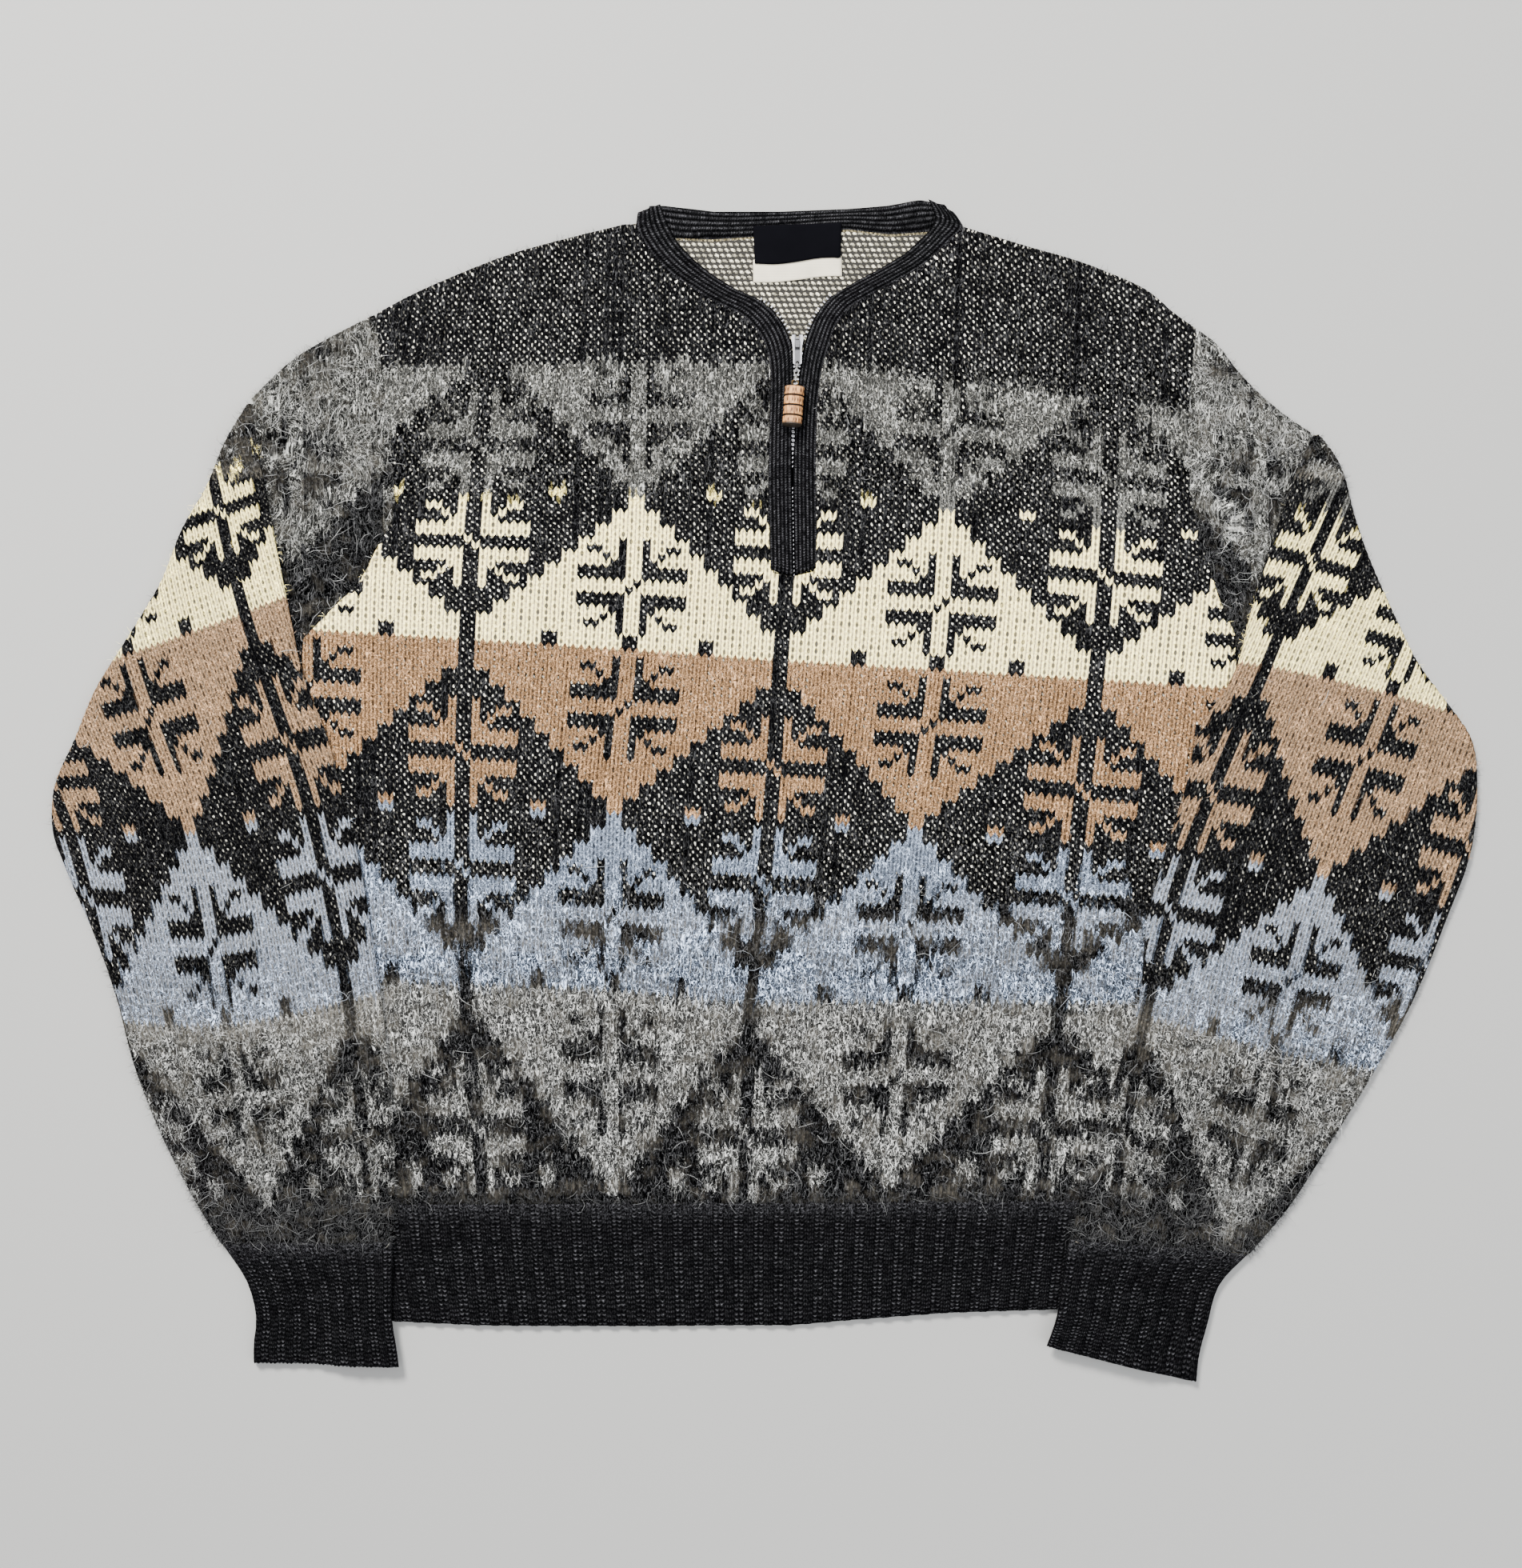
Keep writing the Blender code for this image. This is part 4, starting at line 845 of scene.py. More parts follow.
def knit_panel(name, knit, wales, rows, outline, base, low, colour, finish, relief=stocking, fine=4, step=1.0,
               lean=LEAN, under=False, drop=1.1, turn=3.5, lay=lay_height, nap=nap_at):
    """Flat panel of knit: a closed sheet with stitches on one side and a plain other side."""
    w, r, grid = lattice_of(knit, wales, rows, fine, step, lean)
    outline = np.asarray(outline, float)
    flat = grid.reshape(-1, 2).copy()
    middle = 0.25 * (grid[:-1, :-1] + grid[1:, :-1] + grid[:-1, 1:] + grid[1:, 1:])
    keep = tidy_mask(inside(outline, middle.reshape(-1, 2)).reshape(middle.shape[:2]))
    number = np.arange(len(flat)).reshape(grid.shape[:2])
    quads = np.stack([number[:-1, :-1][keep], number[1:, :-1][keep], number[1:, 1:][keep],
                      number[:-1, 1:][keep]], axis=1)
    edges = np.concatenate([quads[:, [0, 1]], quads[:, [1, 2]], quads[:, [2, 3]], quads[:, [3, 0]]])
    span = len(flat)
    single = ~np.isin(edges[:, 0] * span + edges[:, 1], edges[:, 1] * span + edges[:, 0])
    owner = np.tile(np.arange(len(quads)), 4)[single]
    border = edges[single]
    rim = np.unique(border)
    flat[rim] = nearest(outline, flat[rim], closed=True)[0]
    used = np.unique(quads)
    far = nearest(outline, flat[used], closed=True)[1]
    wide, long = np.tile(w, len(r)), np.repeat(r, len(w))
    rise = np.zeros(span)
    bumps = relief(wide[used], long[used])
    if under:
        rise[used] = low + 0.6 * (bumps.max() - bumps)
    else:
        rise[used] = base + bumps + lay(flat[used]) - drop * (1 - smooth(far / turn))
    points = np.concatenate([flat, rise[:, None]], axis=1)
    plain = points[rim].copy()
    plain[:, 2] = base if under else low
    points = np.concatenate([points, plain])
    twin = np.full(span, -1)                        # the plain side has a twin of each border point
    twin[rim] = span + np.arange(len(rim))
    follow = dict(border.tolist())
    beside = dict(zip(border[:, 0].tolist(), owner.tolist()))
    loop = [int(border[0, 0])]
    while follow[loop[-1]] != loop[0]:
        loop.append(follow[loop[-1]])
    if len(loop) != len(border):
        raise RuntimeError("the outline of %s has %d edges in a loop of %d" % (name, len(border), len(loop)))
    faces = quads.tolist()
    faces += [[p, int(twin[p]), int(twin[q]), q] for p, q in zip(loop, loop[1:] + loop[:1])]
    faces.append([int(twin[p]) for p in loop[::-1]])
    cell_row, cell_wale = np.nonzero(keep)
    naps = np.concatenate([nap(flat), np.zeros(len(rim))])
    colours = colour(w[cell_wale] + 0.5 / fine, r[cell_row] + 0.5 * step, naps[quads[:, 0]])
    colours = np.concatenate([colours, colours[[beside[p] for p in loop]], colours.mean(axis=0)[None]])
    uv = np.stack([wide, -long], axis=1)
    uv = np.concatenate([uv, uv[rim]])
    wanted = np.unique(np.concatenate([used, span + np.arange(len(rim))]))
    lookup = np.full(len(points), -1)
    lookup[wanted] = np.arange(len(wanted))
    faces = [lookup[face].tolist() for face in faces]
    return make_cloth(name, points[wanted], faces, uv[wanted], colours, naps[wanted], finish)


def knit_tube(name, knit, wales, rows, edges, rest, colour, finish, relief=stocking, fine=4, step=1.0,
              lean=LEAN, nap=nap_at, end=None):
    """Flattened tube of knit with a wall all round, whose rows wrap round its two folded edges."""
    radius, bridge = TUBE_RADIUS, 10                # the bridge joins the last wale to the first
    w, r, grid = lattice_of(knit, wales, rows, fine, step, lean)
    sides = [round_off(left_of(edges)), round_off(right_of(edges))]
    flat = grid.reshape(-1, 2)
    turned = flat.copy()
    lift = np.full(len(flat), radius)
    quarter = math.pi / 2
    for line, other in (sides, sides[::-1]):
        place, _, heading = nearest(line, flat)
        toward = nearest(other, place)[0] - place
        normal = np.stack([-heading[:, 1], heading[:, 0]], axis=1)
        normal *= np.sign((toward * normal).sum(axis=1) + 1e-9)[:, None]
        width = np.linalg.norm(toward, axis=1)
        depth = ((flat - place) * normal).sum(axis=1)
        s = depth + (quarter - 1) * radius
        angle = np.clip(s / radius, -quarter, quarter)
        inset = radius * (1 - np.cos(angle)) + np.maximum(np.abs(s) - quarter * radius, 0)
        inset = np.minimum(inset, np.maximum(0.47 * width, 0.5))
        near = depth < radius
        turned[near] = (place + normal * inset[:, None])[near]
        lift[near] = (radius * np.sin(angle))[near]
    if end:
        # rows that run past the seam with the cuff turn in there and close the end
        (xa, ya), (xb, yb) = end
        sign = np.sign(-(xb - xa))
        past = ((turned - [xa, ya]) @ np.array([ya - yb, xb - xa])) / math.dist(*end)
        beyond = np.maximum(past * sign, 0.0)
        down = np.array([ya - yb, xb - xa]) * sign / math.dist(*end)
        turned = turned - down * (beyond * 0.97)[:, None]
        lift = lift * (1 - 0.9 * smooth(beyond / 9.0))
    bumps = relief(np.tile(w, len(r)), np.repeat(r, len(w)))
    up = smooth(lift / radius)
    high = radius + lift + up * lay_height(turned) + (bumps - bumps.max() * 0.6) * (lift > 0)
    points = np.stack([turned[:, 0], turned[:, 1], np.maximum(rest(turned) + high, 0.0)], axis=1)
    points = points.reshape(len(r), len(w), 3)
    share = (np.arange(bridge) + 1)[None, :, None] / (bridge + 1)
    ring = np.concatenate([points, points[:, -1:] * (1 - share) + points[:, :1] * share], axis=1)
    count = ring.shape[1]
    picked = sorted(set(range(0, len(r), 8)) | {len(r) - 1})
    lining = []
    for k in picked:
        ends = [nearest(side, ring[k][:, :2])[0] for side in sides]
        reach = np.linalg.norm(ends[0] - ends[1], axis=1)
        pull = np.clip(2.0 / np.maximum(reach, 1.0), 0, 0.45)[:, None]
        plan = ring[k][:, :2] * (1 - pull) + 0.5 * (ends[0] + ends[1]) * pull
        mid = rest(ring[k][:, :2]) + radius
        lining.append(np.concatenate([plan, (mid + (ring[k][:, 2] - mid) * 0.12)[:, None]], axis=1))
    everything = np.concatenate([ring.reshape(-1, 3), np.array(lining).reshape(-1, 3)])
    outer = np.arange(len(r) * count).reshape(len(r), count)
    inner = len(r) * count + np.arange(len(picked) * count).reshape(len(picked), count)

    def strips(a, b):
        return np.stack([a, b, np.roll(b, -1, axis=-1), np.roll(a, -1, axis=-1)], axis=-1).reshape(-1, 4)

    quads = strips(outer[:-1], outer[1:])
    hidden = np.concatenate([strips(inner[1:], inner[:-1]), strips(inner[0], outer[0]),
                             strips(outer[-1], inner[-1])])
    span = np.concatenate([w, w[-1] + (np.arange(bridge) + 1) / fine])
    wale_of, row_of = np.meshgrid(span + 0.5 / fine, r[:-1] + 0.5 * step)
    naps = np.concatenate([nap(ring.reshape(-1, 3)), np.zeros(inner.size)])
    colours = colour(wale_of.ravel(), row_of.ravel(), naps[quads[:, 0]])
    colours = np.concatenate([colours, np.tile(colours.mean(axis=0), (len(hidden), 1))])
    uv = np.concatenate([np.stack([np.tile(span, len(rr)), -np.repeat(rr, count)], axis=1)
                         for rr in (r, r[picked])])
    return make_cloth(name, everything, np.concatenate([quads, hidden]).tolist(), uv, colours, naps, finish)


def brush(name, source, count, seed, finish):
    """Nap: fine curved hairs that start on a knitted piece and lie over it or stand out at its edge."""
    mesh = source.data
    rng = np.random.default_rng(seed)

    def fetch(items, key, width, kind=np.float32):
        values = np.empty(len(items) * width, kind)
        items.foreach_get(key, values)
        return values.reshape(-1, width) if width > 1 else values

    centres = fetch(mesh.polygons, "center", 3) / MM
    normals = fetch(mesh.polygons, "normal", 3)
    starts = fetch(mesh.polygons, "loop_start", 1, np.int32)
    areas = fetch(mesh.polygons, "area", 1)
    corner = fetch(mesh.loops, "vertex_index", 1, np.int32)[starts]
    naps = fetch(mesh.attributes["nap"].data, "value", 1)[corner]
    colours = fetch(mesh.attributes["yarn"].data, "color", 4)[starts]
    areas = np.minimum(areas, np.median(areas) * 3)
    top = areas * np.maximum(naps - 0.12, 0) ** 1.5 * (normals[:, 2] > 0.25)
    top *= 1 + 3 * smooth((-230.0 - centres[:, 1]) / 12.0)        # the nap hangs over the ribs
    edge = areas * (naps > 0) * (0.25 + naps) * (np.abs(normals[:, 2]) < 0.6)
    chance = top / top.sum() * (1 - EDGE_HAIRS)
    if edge.sum() > 0:
        chance = chance + edge / edge.sum() * EDGE_HAIRS
    chosen = rng.choice(len(mesh.polygons), count, p=chance / chance.sum())
    centres, normals = centres[chosen], normals[chosen]
    outward = np.abs(normals[:, 2]) < 0.6
    lengthy = rng.random(count) < LONG_HAIRS

    def pick(of_long, of_short):
        return np.where(lengthy, rng.uniform(*of_long, count), rng.uniform(*of_short, count))

    length = pick((7.0, 17.0), (2.2, 6.0))
    length = np.where(outward, rng.uniform(1.5, 5.5, count), length)
    heading = -math.pi / 2 + rng.standard_normal(count) * np.where(lengthy, 1.6, 0.55)
    away = np.arctan2(normals[:, 1], normals[:, 0]) + rng.standard_normal(count) * 0.6
    heading = np.where(outward, away, heading)
    bend = rng.standard_normal(count) * np.where(lengthy, 0.75, 0.45)
    rise = pick((0.6, 2.2), (0.25, 1.0))
    thick = pick((0.09, 0.14), (0.08, 0.13))
    root = 0.25                                     # a hair starts this deep in the knit
    spine = [centres - [0, 0, root]]
    turns = []
    for k, climb in enumerate((0.9, 0.15, -0.35)):
        angle = heading + bend * k
        ahead = np.stack([np.cos(angle), np.sin(angle), np.zeros(count)], axis=1)
        turns.append(np.stack([-np.sin(angle), np.cos(angle), np.zeros(count)], axis=1))
        step = ahead * (length / 3)[:, None]
        step[:, 2] = rise * climb + (root if k == 0 else 0.0)
        spine.append(spine[-1] + step)
    points = np.empty((count, 10, 3))               # three rings of three points, and the tip
    for k, slim in enumerate((1.0, 0.9, 0.6)):
        for j in range(3):
            a = math.tau * (j + 0.25) / 3
            radius = (thick * slim)[:, None]
            points[:, 3 * k + j] = spine[k] + (turns[k] * math.cos(a) + np.array([0, 0, math.sin(a)])) * radius
    points[:, 9] = spine[3]
    shape = [[0, 2, 1]]
    for k in (0, 3):
        shape += [[k + j, k + (j + 1) % 3, k + 3 + (j + 1) % 3, k + 3 + j] for j in range(3)]
    shape += [[6 + j, 6 + (j + 1) % 3, 9] for j in range(3)]
    faces = [[10 * n + v for v in face] for n in range(count) for face in shape]
    own = colours[chosen].copy()
    bright = np.clip(own[:, 1] / 0.15, 0.12, 1.0)
    share = (rng.uniform(0.1, 0.8, count) ** 1.2 * bright + 0.55 * lengthy * rng.random(count)).clip(0, 0.95)
    share = (share * (1 - 0.6 * smooth((-225.0 - centres[:, 1]) / 14.0)))[:, None]
    own[:, :3] = own[:, :3] * rng.uniform(0.9, 2.2, count)[:, None] * (1 - share) + linear(PALE_HAIR) * share
    own[:, 3] = 0
    points = points.reshape(-1, 3)
    points[:, 2] = np.maximum(points[:, 2], 0.1)
    return make_cloth(name, points, faces, np.zeros((len(points), 2)), np.repeat(own, len(shape), axis=0),
                      np.zeros(len(points)), finish)


def settle(made, *nodes, slot="mohair"):
    """Let a finished piece stand for CAD nodes and belong to the garment."""
    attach(made, "garment")
    if nodes:
        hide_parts(*nodes)
    return made


def area_of(outline):
    x, y = np.asarray(outline).T
    return float(abs(np.dot(x, np.roll(y, -1)) - np.dot(y, np.roll(x, -1))) / 2 * MM * MM)


def box_of(outline):
    """Width and height of the box round an outline, in metres."""
    return [float(s) * MM for s in outline.max(axis=0) - outline.min(axis=0)]


def as_sheet(outline):
    """Work out the box round an outline, or a narrow bent strip's length and width; nothing is done with them.
    """
    outline = np.asarray(outline, float)
    size = box_of(outline)
    area = area_of(outline)
    if area < 0.35 * size[0] * size[1]:
        length = float(spans(np.concatenate([outline, outline[:1]])).sum()) * MM / 2
        size = [length, max(area / length, 0.0101)]


def dress(name, finish):
    """Put a finish on a CAD solid that is shown as it is."""
    mesh = frame["nodes"][name].data
    mesh.materials.clear()
    mesh.materials.append(finish)
    return mesh


def select_none():
    bpy.ops.object.select_all(action="DESELECT")


# ---------------------------------------------------------------- outlines and lattices
def shell_outline(neck):
    """Body outline with the given line across its neck, from right to left."""
    left = list(round_off(LEFT_SHOULDER)) + list(round_off(LEFT_ARMHOLE))[1:] + left_of(SIDES)
    right = list(round_off(RIGHT_SHOULDER))[:-1] + list(round_off(RIGHT_ARMHOLE)) + right_of(SIDES)
    return np.array(left + right[::-1] + neck, float)


def front_outline():
    slit = [(30.0, 131.0), (17.3, 128.0), (5.0, 130.0)]
    return shell_outline(left_of(RIGHT_BAND[1:], -2, 1.5) + slit + left_of(LEFT_BAND[1:], 2, 1.5)[::-1])


def back_outline():
    return shell_outline(right_of(BACK_BAND[::-1], 0, 1))


def strip_outline(rows):
    return np.array(left_of(rows) + right_of(rows)[::-1], float)


def strip_knit(rows, wales, row_height):
    """Lattice of a strip: its wales run along it, its rows across."""
    middle = np.array([((e.left_x + e.right_x) / 2, (e.left_y + e.right_y) / 2) for e in rows])
    along = lengths_along(middle) / row_height
    return [KnitRow(at, [(0, e.left_x, e.left_y), (wales / 2, m[0], m[1]), (wales, e.right_x, e.right_y)])
            for at, e, m in zip(along, rows, middle)]


def hem_lattice(wales):
    """Lattice of the hem, whose last row follows the curved edge."""
    edge = np.array(HEM_EDGE)
    stops = np.linspace(0, 1, 7)
    knit = []
    for row, side, share in zip((0, HEM_ROWS * 0.47, HEM_ROWS), HEM_SIDES, (0.0, 0.0, 1.0)):
        x = side.left_x + (side.right_x - side.left_x) * stops
        y = side.left_y + (side.right_y - side.left_y) * stops
        y = y * (1 - share) + np.interp(x, edge[:, 0], edge[:, 1]) * share
        knit.append(KnitRow(row, list(zip(stops * wales, x, y))))
    return knit


def sleeve_rest(side, cap_line):
    """Height of what a sleeve lies on: the body inside its side edge, the cap, or the floor."""
    line = round_off(side)
    cap = round_off(cap_line)
    sign = -np.sign(line[:, 0].mean())

    def rest(points):
        past = (np.interp(points[:, 1], line[::-1, 1], line[::-1, 0]) - points[:, 0]) * sign
        far_cap = nearest(cap, points[:, :2])[1]
        over = np.maximum(smooth((40.0 - past) / 30.0), 0.85 * smooth((38.0 - far_cap) / 30.0))
        return SLEEVE_LIFT * over * smooth((236.0 - points[:, 1]) / 40.0)

    return rest


# ---------------------------------------------------------------- operators
def yarn_property(name, text):
    default = [float(v) for v in linear(YARN_LOOKS[name.lower()][0])]
    return bpy.props.FloatVectorProperty(name=name, description=text, subtype="COLOR", size=3, min=0.0,
                                         max=1.0, default=default)


class SweaterSizes(bpy.types.PropertyGroup):
    """Sizes and yarn colours of the sweater"""

    charcoal: yarn_property("Charcoal", "Yarn of the ground and the dark diamonds")
    smoke: yarn_property("Smoke", "Yarn of the pale pattern on the chest")
    cream: yarn_property("Cream", "Yarn of the first band of diamonds")
    tan: yarn_property("Tan", "Yarn of the second band of diamonds")
    blue: yarn_property("Blue", "Yarn of the third band of diamonds")
    grey: yarn_property("Grey", "Yarn of the band above the hem")
    black: yarn_property("Black", "Yarn of the ribs and neck bands")
    nap_hairs: bpy.props.IntProperty(name="Nap hairs", description="Brushed hairs on each large piece",
                                     default=9000, min=10, max=12000)
    tooth_pitch: bpy.props.FloatProperty(name="Tooth pitch", default=0.0026, unit="LENGTH",
                                         description="Distance between two zip teeth on a side")


class SWEATER_OT_body(bpy.types.Operator):
    """Knit the front and back panels"""

    bl_idname = "sweater.body"
    bl_label = "Body panels"

    def execute(self, context):
        finish = knit_finish("mohair_body", 1.55)
        size = (FRONT_KNIT, (-66, 64), (-24, 110))
        outline = front_outline()
        front = knit_panel("front_panel_knit", *size, outline, FRONT_TOP - RELIEF, FRONT_LOW,
                           charted(BODY_BANDS, 11), finish)
        settle(front, "front_panel")
        as_sheet(outline)
        outline = back_outline()
        back = knit_panel("back_panel_knit", *size, outline, BACK_FLAT, 0.0, charted(BODY_BANDS, 12), finish,
                          fine=2, under=True)
        settle(back, "back_panel")
        as_sheet(outline)
        return {"FINISHED"}


class SWEATER_OT_sleeves(bpy.types.Operator):
    """Knit the sleeves: a cap above the pleat and the folded tube below it"""

    bl_idname = "sweater.sleeves"
    bl_label = "Sleeves"

    def execute(self, context):
        finish = knit_finish("mohair_sleeve", 1.25)
        shaggy = knit_finish("mohair_cap", 1.7, 0.030)
        for k, plan in enumerate(SLEEVES):
            pleat = right_of(plan.tube[:7])
            underarm = plan.armhole[-1]
            rest = sleeve_rest([underarm] + plan.edge(SIDES) + plan.edge(HEM_SIDES[1:]), pleat)
            made = knit_tube("sleeve_%s_knit" % plan.side, plan.knit, plan.wales, (8, 118), plan.tube, rest,
                             charted(SLEEVE_BANDS, 21 + k, 0.52, 0.80), finish, nap=sleeve_nap,
                             end=left_of(plan.cuff[:1]) + right_of(plan.cuff[:1]))
            settle(made, "sleeve_%s" % plan.side)
            toward = 16.0 * plan.sign               # the cap runs on under the tube
            tucked = [(x + toward * min(1, n / 3), y) for n, (x, y) in enumerate(pleat)]
            tucked.append((pleat[-1][0] + toward, 50.0))
            line = list(round_off(plan.armhole)) + [(underarm[0], 60.0)] + tucked[::-1]
            line += list(round_off(plan.cap_edge))[::-1]
            cap = knit_panel("sleeve_%s_cap" % plan.side, plan.cap_knit, plan.cap_wales, (-30, 44), line,
                             FRONT_TOP - RELIEF, 0.4, charted(CAP_BANDS, 31 + k, 1.0, plan.cap_shade), shaggy,
                             drop=1.8, turn=4.0, nap=cap_nap)
            settle(cap)
            as_sheet(line)
        return {"FINISHED"}


class SWEATER_OT_ribs(bpy.types.Operator):
    """Knit the hem and the cuffs"""

    bl_idname = "sweater.ribs"
    bl_label = "Hem and cuffs"

    def execute(self, context):
        finish = rib_finish("ribbed_black", True)
        outline = left_of(HEM_SIDES) + HEM_EDGE[1:-1] + right_of(HEM_SIDES)[::-1]
        knit = hem_lattice(HEM_WALES)
        size = ((0, HEM_WALES), (0, HEM_ROWS), outline)
        front = knit_panel("hem_rib_front_knit", knit, *size, HEM_TOP, FRONT_LOW, plain_yarn("black", 41),
                           finish, step=0.5, drop=1.6, turn=3.0, **WIDE_RIB)
        settle(front, "hem_rib_front", slot="rib")
        as_sheet(outline)
        back = knit_panel("hem_rib_back_knit", knit, *size, BACK_FLAT, 0.0, plain_yarn("black", 42), finish,
                          fine=2, step=2.0, under=True, **WIDE_RIB)
        settle(back, "hem_rib_back", slot="rib")
        as_sheet(outline)
        for plan in SLEEVES:
            knit = strip_knit(plan.cuff, CUFF_WALES, RIB_ROW)
            rest = sleeve_rest(plan.edge(HEM_SIDES), right_of(plan.tube[:2]))
            rows = (0, math.floor(knit[-1].row * 2) / 2)
            made = knit_tube("cuff_%s_knit" % plan.side, knit, (-3, CUFF_WALES + 3), rows, plan.cuff, rest,
                             plain_yarn("black", 43), finish, step=0.5, **WIDE_RIB)
            settle(made, "cuff_%s" % plan.side, slot="rib")
        return {"FINISHED"}


class SWEATER_OT_bands(bpy.types.Operator):
    """Knit the bands round the neck and beside the zip, and the inside of the back neck"""

    bl_idname = "sweater.bands"
    bl_label = "Neck bands"

    def execute(self, context):
        finish = rib_finish("ribbed_band", False)
        for name, rows, base, low, rests in (
                ("band_left", LEFT_BAND, BAND_TOP - 0.1, BAND_LOW, ["front_panel"]),
                ("band_right", RIGHT_BAND, BAND_TOP - 0.1, BAND_LOW, ["front_panel"]),
                ("neckband_back", BACK_BAND, 2.7, 0.0, [])):
            knit = strip_knit(rows, 6, BAND_ROW)
            outline = strip_outline(rows)
            made = knit_panel(name + "_knit", knit, (0, 6), (0, math.floor(knit[-1].row)), outline, base, low,
                              plain_yarn("black", 51), finish, relief=fine_rib, lean=0.25, drop=1.9, turn=5.0,
                              lay=lambda points: 0.4 * lay_height(points))
            settle(made, name, slot="rib")
            as_sheet(outline)
        left, right = [[(0.6 * e.left_x + 0.4 * e.right_x, 0.6 * e.left_y + 0.4 * e.right_y)
                        for e in rows[1:11]] for rows in (LEFT_BAND, RIGHT_BAND)]
        outline = left + right[::-1] + right_of(BACK_BAND[1:-1], 0, -0.3)[::-1]
        lattice = [KnitRow(row, [(wale, wale * 95 / 26, y) for wale in (-26, 0, 26, 39)])
                   for row, y in ((0, 345.0), (15, 295.5), (30, 246.0), (34, 232.8))]
        made = knit_panel("neck_inside_knit", lattice, (-26, 36), (0, 33), outline, BACK_FLAT + 0.35,
                          BACK_FLAT + 0.02, plain_yarn("cream", 55), wrong_side_finish("mohair_inside"),
                          relief=purl_bumps, step=0.25, lean=0.0, drop=0.2, turn=1.0, lay=no_lay)
        settle(made)
        as_sheet(outline)
        return {"FINISHED"}


class SWEATER_OT_labels(bpy.types.Operator):
    """Sew in the two bare labels"""

    bl_idname = "sweater.labels"
    bl_label = "Labels"

    def execute(self, context):
        for name, corners, low, bow, colour, slot in (
                ("label_size", [(-7, 317.5), (46, 319.5), (-6.8, 304), (46.2, 307.5)], 2.95, 0.8,
                 (214, 206, 184), "label_white"),
                ("label_neck", [(-7, 337.5), (46, 339.5), (-6, 315), (45.5, 318)], 3.9, 1.2,
                 (9, 9, 12), "label_black")):
            corner = np.array(corners)
            wide, tall = 26, 12
            knit = []
            for row in (0, tall / 2, tall):
                places = []
                for w in np.linspace(0, wide, 5):
                    upper = corner[0] * (1 - w / wide) + corner[1] * w / wide
                    lower = corner[2] * (1 - w / wide) + corner[3] * w / wide
                    sag = [0, -bow * math.sin(w / wide * math.tau * 0.9) * row / tall]
                    places.append((w, *(upper * (1 - row / tall) + lower * row / tall + sag)))
                knit.append(KnitRow(row, places))
            edge = list(lay_out(knit, np.linspace(0, wide, 14), np.array([tall]), 0.0)[0])
            outline = np.array([corner[0], corner[2]] + edge[1:-1] + [corner[3], corner[1]])
            made = knit_panel(name + "_cloth", knit, (0, wide), (0, tall), outline, low + 0.45, low,
                              plain_yarn("black", 61, 0.0), weave_finish(name + "_weave", colour, 0.0009),
                              drop=0.15, turn=0.8, lay=lambda points: 0.25 * np.sin(points[:, 0] / 6.0),
                              **SMOOTH)
            settle(made, name, slot=slot)
            as_sheet(outline)
        return {"FINISHED"}


def box_piece(name, size, bevel, finish):
    """Small block with bevelled edges, about the origin."""
    select_none()
    bpy.ops.mesh.primitive_cube_add(size=1.0, location=(0, 0, 0))
    made = bpy.context.active_object
    made.name = name
    made.scale = [s * MM for s in size]
    bpy.ops.object.transform_apply(location=True, rotation=False, scale=True)
    bpy.ops.object.mode_set(mode="EDIT")
    bpy.ops.mesh.select_all(action="SELECT")
    bpy.ops.mesh.bevel(offset=bevel * MM, segments=1, affect="EDGES")
    bpy.ops.object.mode_set(mode="OBJECT")
    made.data.materials.append(finish)
    return made


def copies(name, model, frames):
    """One piece made of copies of a small model, which is taken away."""
    bm = bmesh.new()
    for turn in frames:
        part = model.data.copy()
        part.transform(turn)
        bm.from_mesh(part)
        bpy.data.meshes.remove(part)
    mesh = bpy.data.meshes.new(name)
    bm.to_mesh(mesh)
    bm.free()
    mesh.materials.append(model.data.materials[0])
    bpy.data.objects.remove(model)
    return link(name, mesh)


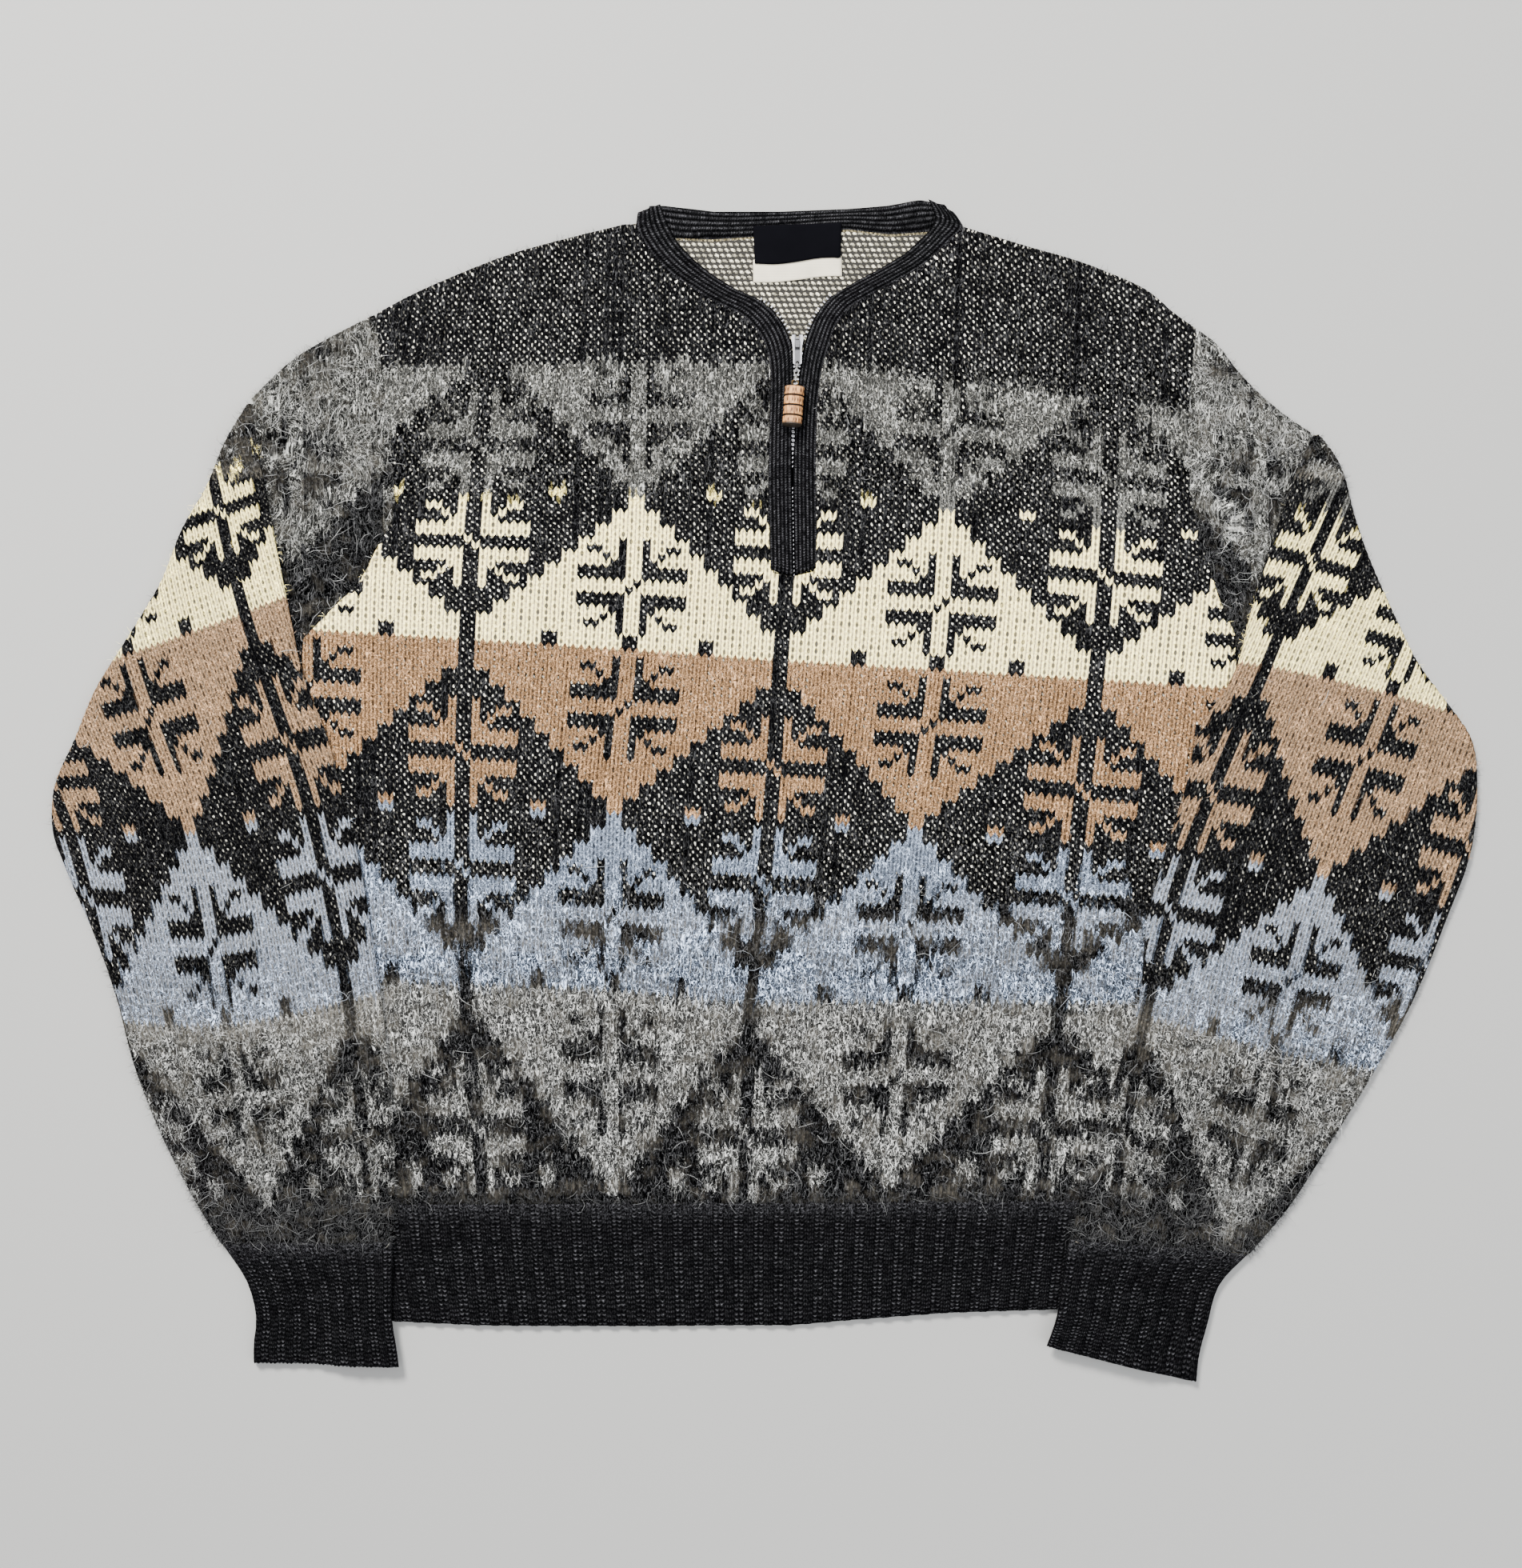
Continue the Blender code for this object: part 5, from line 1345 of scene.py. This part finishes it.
class SWEATER_OT_zip(bpy.types.Operator):
    """Fit the zip: tapes, teeth, slider and tab"""

    bl_idname = "sweater.zip"
    bl_label = "Zip"

    def execute(self, context):
        metal = metal_finish("nickel_plate", (176, 176, 180), 0.30)
        pitch = context.scene.sweater_sizes.tooth_pitch / MM
        frames = []
        for side, rows, sign in (("left", LEFT_BAND, 1), ("right", RIGHT_BAND, -1)):
            tape = []
            for e in rows[6:]:
                across = np.array([e.left_x - e.right_x, e.left_y - e.right_y])
                outer = np.array([e.right_x, e.right_y]) + across / np.linalg.norm(across) * TAPE_WIDTH
                tape.append(Edge(outer[0], outer[1], e.right_x + 0.35 * sign, e.right_y))
            knit = strip_knit(tape, 9, 1.8)
            outline = strip_outline(tape)
            finish = weave_finish("zip_tape_%s_weave" % side, (8, 8, 10), 0.0007)
            made = knit_panel("zip_tape_%s_cloth" % side, knit, (0, 9), (0, math.floor(knit[-1].row)), outline,
                              TAPE_TOP, TAPE_LOW, plain_yarn("black", 71), finish, drop=0.1, turn=0.6,
                              lay=no_lay, **SMOOTH)
            settle(made, "zip_tape_" + side, slot="tape")
            as_sheet(outline)
            line = round_off(right_of(tape), pitch / 2)
            lengths = lengths_along(line)
            for at in np.arange(pitch / 2 * (side == "left"), lengths[-1], pitch):
                x, y = [np.interp(at, lengths, line[:, k]) for k in (0, 1)]
                x2, y2 = [np.interp(at + 1, lengths, line[:, k]) for k in (0, 1)]
                in_slider = ZIP_OPEN < y < SLIDER_TOP and abs(x - SLIDER_X) < 5.5
                if in_slider or HIDDEN_TEETH[0] < y < HIDDEN_TEETH[1]:
                    continue
                heading = math.atan2(y2 - y, x2 - x) + math.pi / 2
                shown = float(smooth((y - 196.0) / 14.0))
                reach, slim, lift = 0.2 + 0.4 * shown, 0.16 + 0.85 * shown, 3.75
                if y > ZIP_OPEN:
                    reach, slim, lift = 0.75, 1.0, 3.95
                place = (x + sign * reach * math.cos(heading), y + sign * reach * math.sin(heading), lift)
                stretch = (slim, 1.0 + 0.3 * shown * (y < ZIP_OPEN), 1.0, 1.0)
                frames.append(Matrix.Translation(Vector(place) * MM) @ Matrix.Rotation(heading, 4, "Z")
                              @ Matrix.Diagonal(stretch))
        tooth = box_piece("tooth", (1.9, 1.15, 1.3), 0.25, metal)
        teeth = copies("zip_teeth", tooth, frames)
        settle(teeth, slot="metal")
        # The slider and the tab get a band of painted shade along the zip's middle line.
        plate = metal_finish("slider_plate", (170, 170, 174), 0.36, SLIDER_X * MM)
        for name in ("zip_slider", "zip_tab"):
            dress(name, plate)
        return {"FINISHED"}


class SWEATER_OT_pull(bpy.types.Operator):
    """Finish the chain, the eye and the carved bead"""

    bl_idname = "sweater.pull"
    bl_label = "Zip pull"

    def execute(self, context):
        bright = metal_finish("chain_metal", (215, 214, 210), 0.28)
        brass = metal_finish("dark_brass", (120, 98, 66), 0.4)
        dress("pull_eye", brass).shade_smooth()
        for name in ("pull_link_1", "pull_link_2", "pull_link_3"):
            dress(name, bright).shade_smooth()
        dress("pull_bead", wood_finish("carved_wood"))
        return {"FINISHED"}


class SWEATER_OT_nap(bpy.types.Operator):
    """Brush up the nap of the large pieces"""

    bl_idname = "sweater.nap"
    bl_label = "Nap"

    def execute(self, context):
        count = context.scene.sweater_sizes.nap_hairs
        finish = hair_finish("mohair_fibre")
        for k, (name, share) in enumerate((("front_panel_knit", 1.0), ("sleeve_left_knit", 0.6),
                                           ("sleeve_right_knit", 0.6), ("sleeve_left_cap", 0.35),
                                           ("sleeve_right_cap", 0.35))):
            hairs = brush(name.replace("_knit", "") + "_nap", bpy.data.objects[name], int(count * share),
                          81 + k, finish)
            settle(hairs)
        return {"FINISHED"}


class SWEATER_OT_stage(bpy.types.Operator):
    """Set a pale floor, soft lights and the camera"""

    bl_idname = "sweater.stage"
    bl_label = "Stage"

    def execute(self, context):
        scene = context.scene
        select_none()
        bpy.ops.mesh.primitive_plane_add(size=8.0, location=(0, 0, -0.0004))
        floor = context.active_object
        floor.name = "floor"
        f = Finish("pale_floor", roughness=0.85, specular=0.2)
        f.shader.inputs["Base Color"].default_value = (0.27, 0.27, 0.262, 1.0)
        floor.data.materials.append(f.material)
        for name, place, size, power, colour in (
                ("key", (-0.8, 1.5, 1.9), 0.6, 238.0, (1.0, 0.98, 0.95)),
                ("fill", (1.3, -0.7, 1.8), 1.6, 42.0, (0.95, 0.97, 1.0)),
                ("top", (0.0, 0.1, 2.6), 2.0, 44.0, (1.0, 1.0, 1.0))):
            select_none()
            bpy.ops.object.light_add(type="AREA", location=place)
            light = context.active_object
            light.name = "light_" + name
            light.data.size = size
            light.data.energy = power
            light.data.color = colour
            light.rotation_euler = (Vector((0, 0, 0)) - Vector(place)).to_track_quat("-Z", "Y").to_euler()
        world = bpy.data.worlds.new("soft_room")
        world.use_nodes = True
        background = world.node_tree.nodes["Background"]
        background.inputs[0].default_value = (0.93, 0.95, 1.0, 1.0)
        background.inputs[1].default_value = 0.95
        scene.world = world
        select_none()
        bpy.ops.object.camera_add(location=(-0.0022, 0.0038, CAMERA_HEIGHT), rotation=(0, 0, 0))
        camera = context.active_object
        camera.name = "camera"
        camera.data.sensor_fit = "VERTICAL"
        camera.data.sensor_height = SENSOR_HEIGHT
        camera.data.lens = SENSOR_HEIGHT * CAMERA_HEIGHT / PICTURE_HEIGHT
        camera.data.clip_start = 0.01
        camera.data.clip_end = 50.0
        scene.camera = camera
        return {"FINISHED"}


STEPS = [SWEATER_OT_stage, SWEATER_OT_body, SWEATER_OT_sleeves, SWEATER_OT_ribs, SWEATER_OT_bands,
         SWEATER_OT_labels, SWEATER_OT_zip, SWEATER_OT_pull, SWEATER_OT_nap]


class SWEATER_PT_panel(bpy.types.Panel):
    """Lists the steps that build the sweater"""

    bl_label = "Sweater"
    bl_idname = "SWEATER_PT_panel"
    bl_space_type = "VIEW_3D"
    bl_region_type = "UI"
    bl_category = "Sweater"

    def draw(self, context):
        for prop in ["nap_hairs", "tooth_pitch"] + YARNS:
            self.layout.prop(context.scene.sweater_sizes, prop)
        for step in STEPS:
            self.layout.operator(step.bl_idname)


CLASSES = [SweaterSizes] + STEPS + [SWEATER_PT_panel]


def register():
    for cls in CLASSES:
        bpy.utils.register_class(cls)
    bpy.types.Scene.sweater_sizes = bpy.props.PointerProperty(type=SweaterSizes)


def unregister():
    del bpy.types.Scene.sweater_sizes
    for cls in CLASSES[::-1]:
        bpy.utils.unregister_class(cls)


def main():
    register()
    for step in STEPS:
        group, name = step.bl_idname.split(".")
        getattr(getattr(bpy.ops, group), name)()


if __name__ == "__main__":
    main()
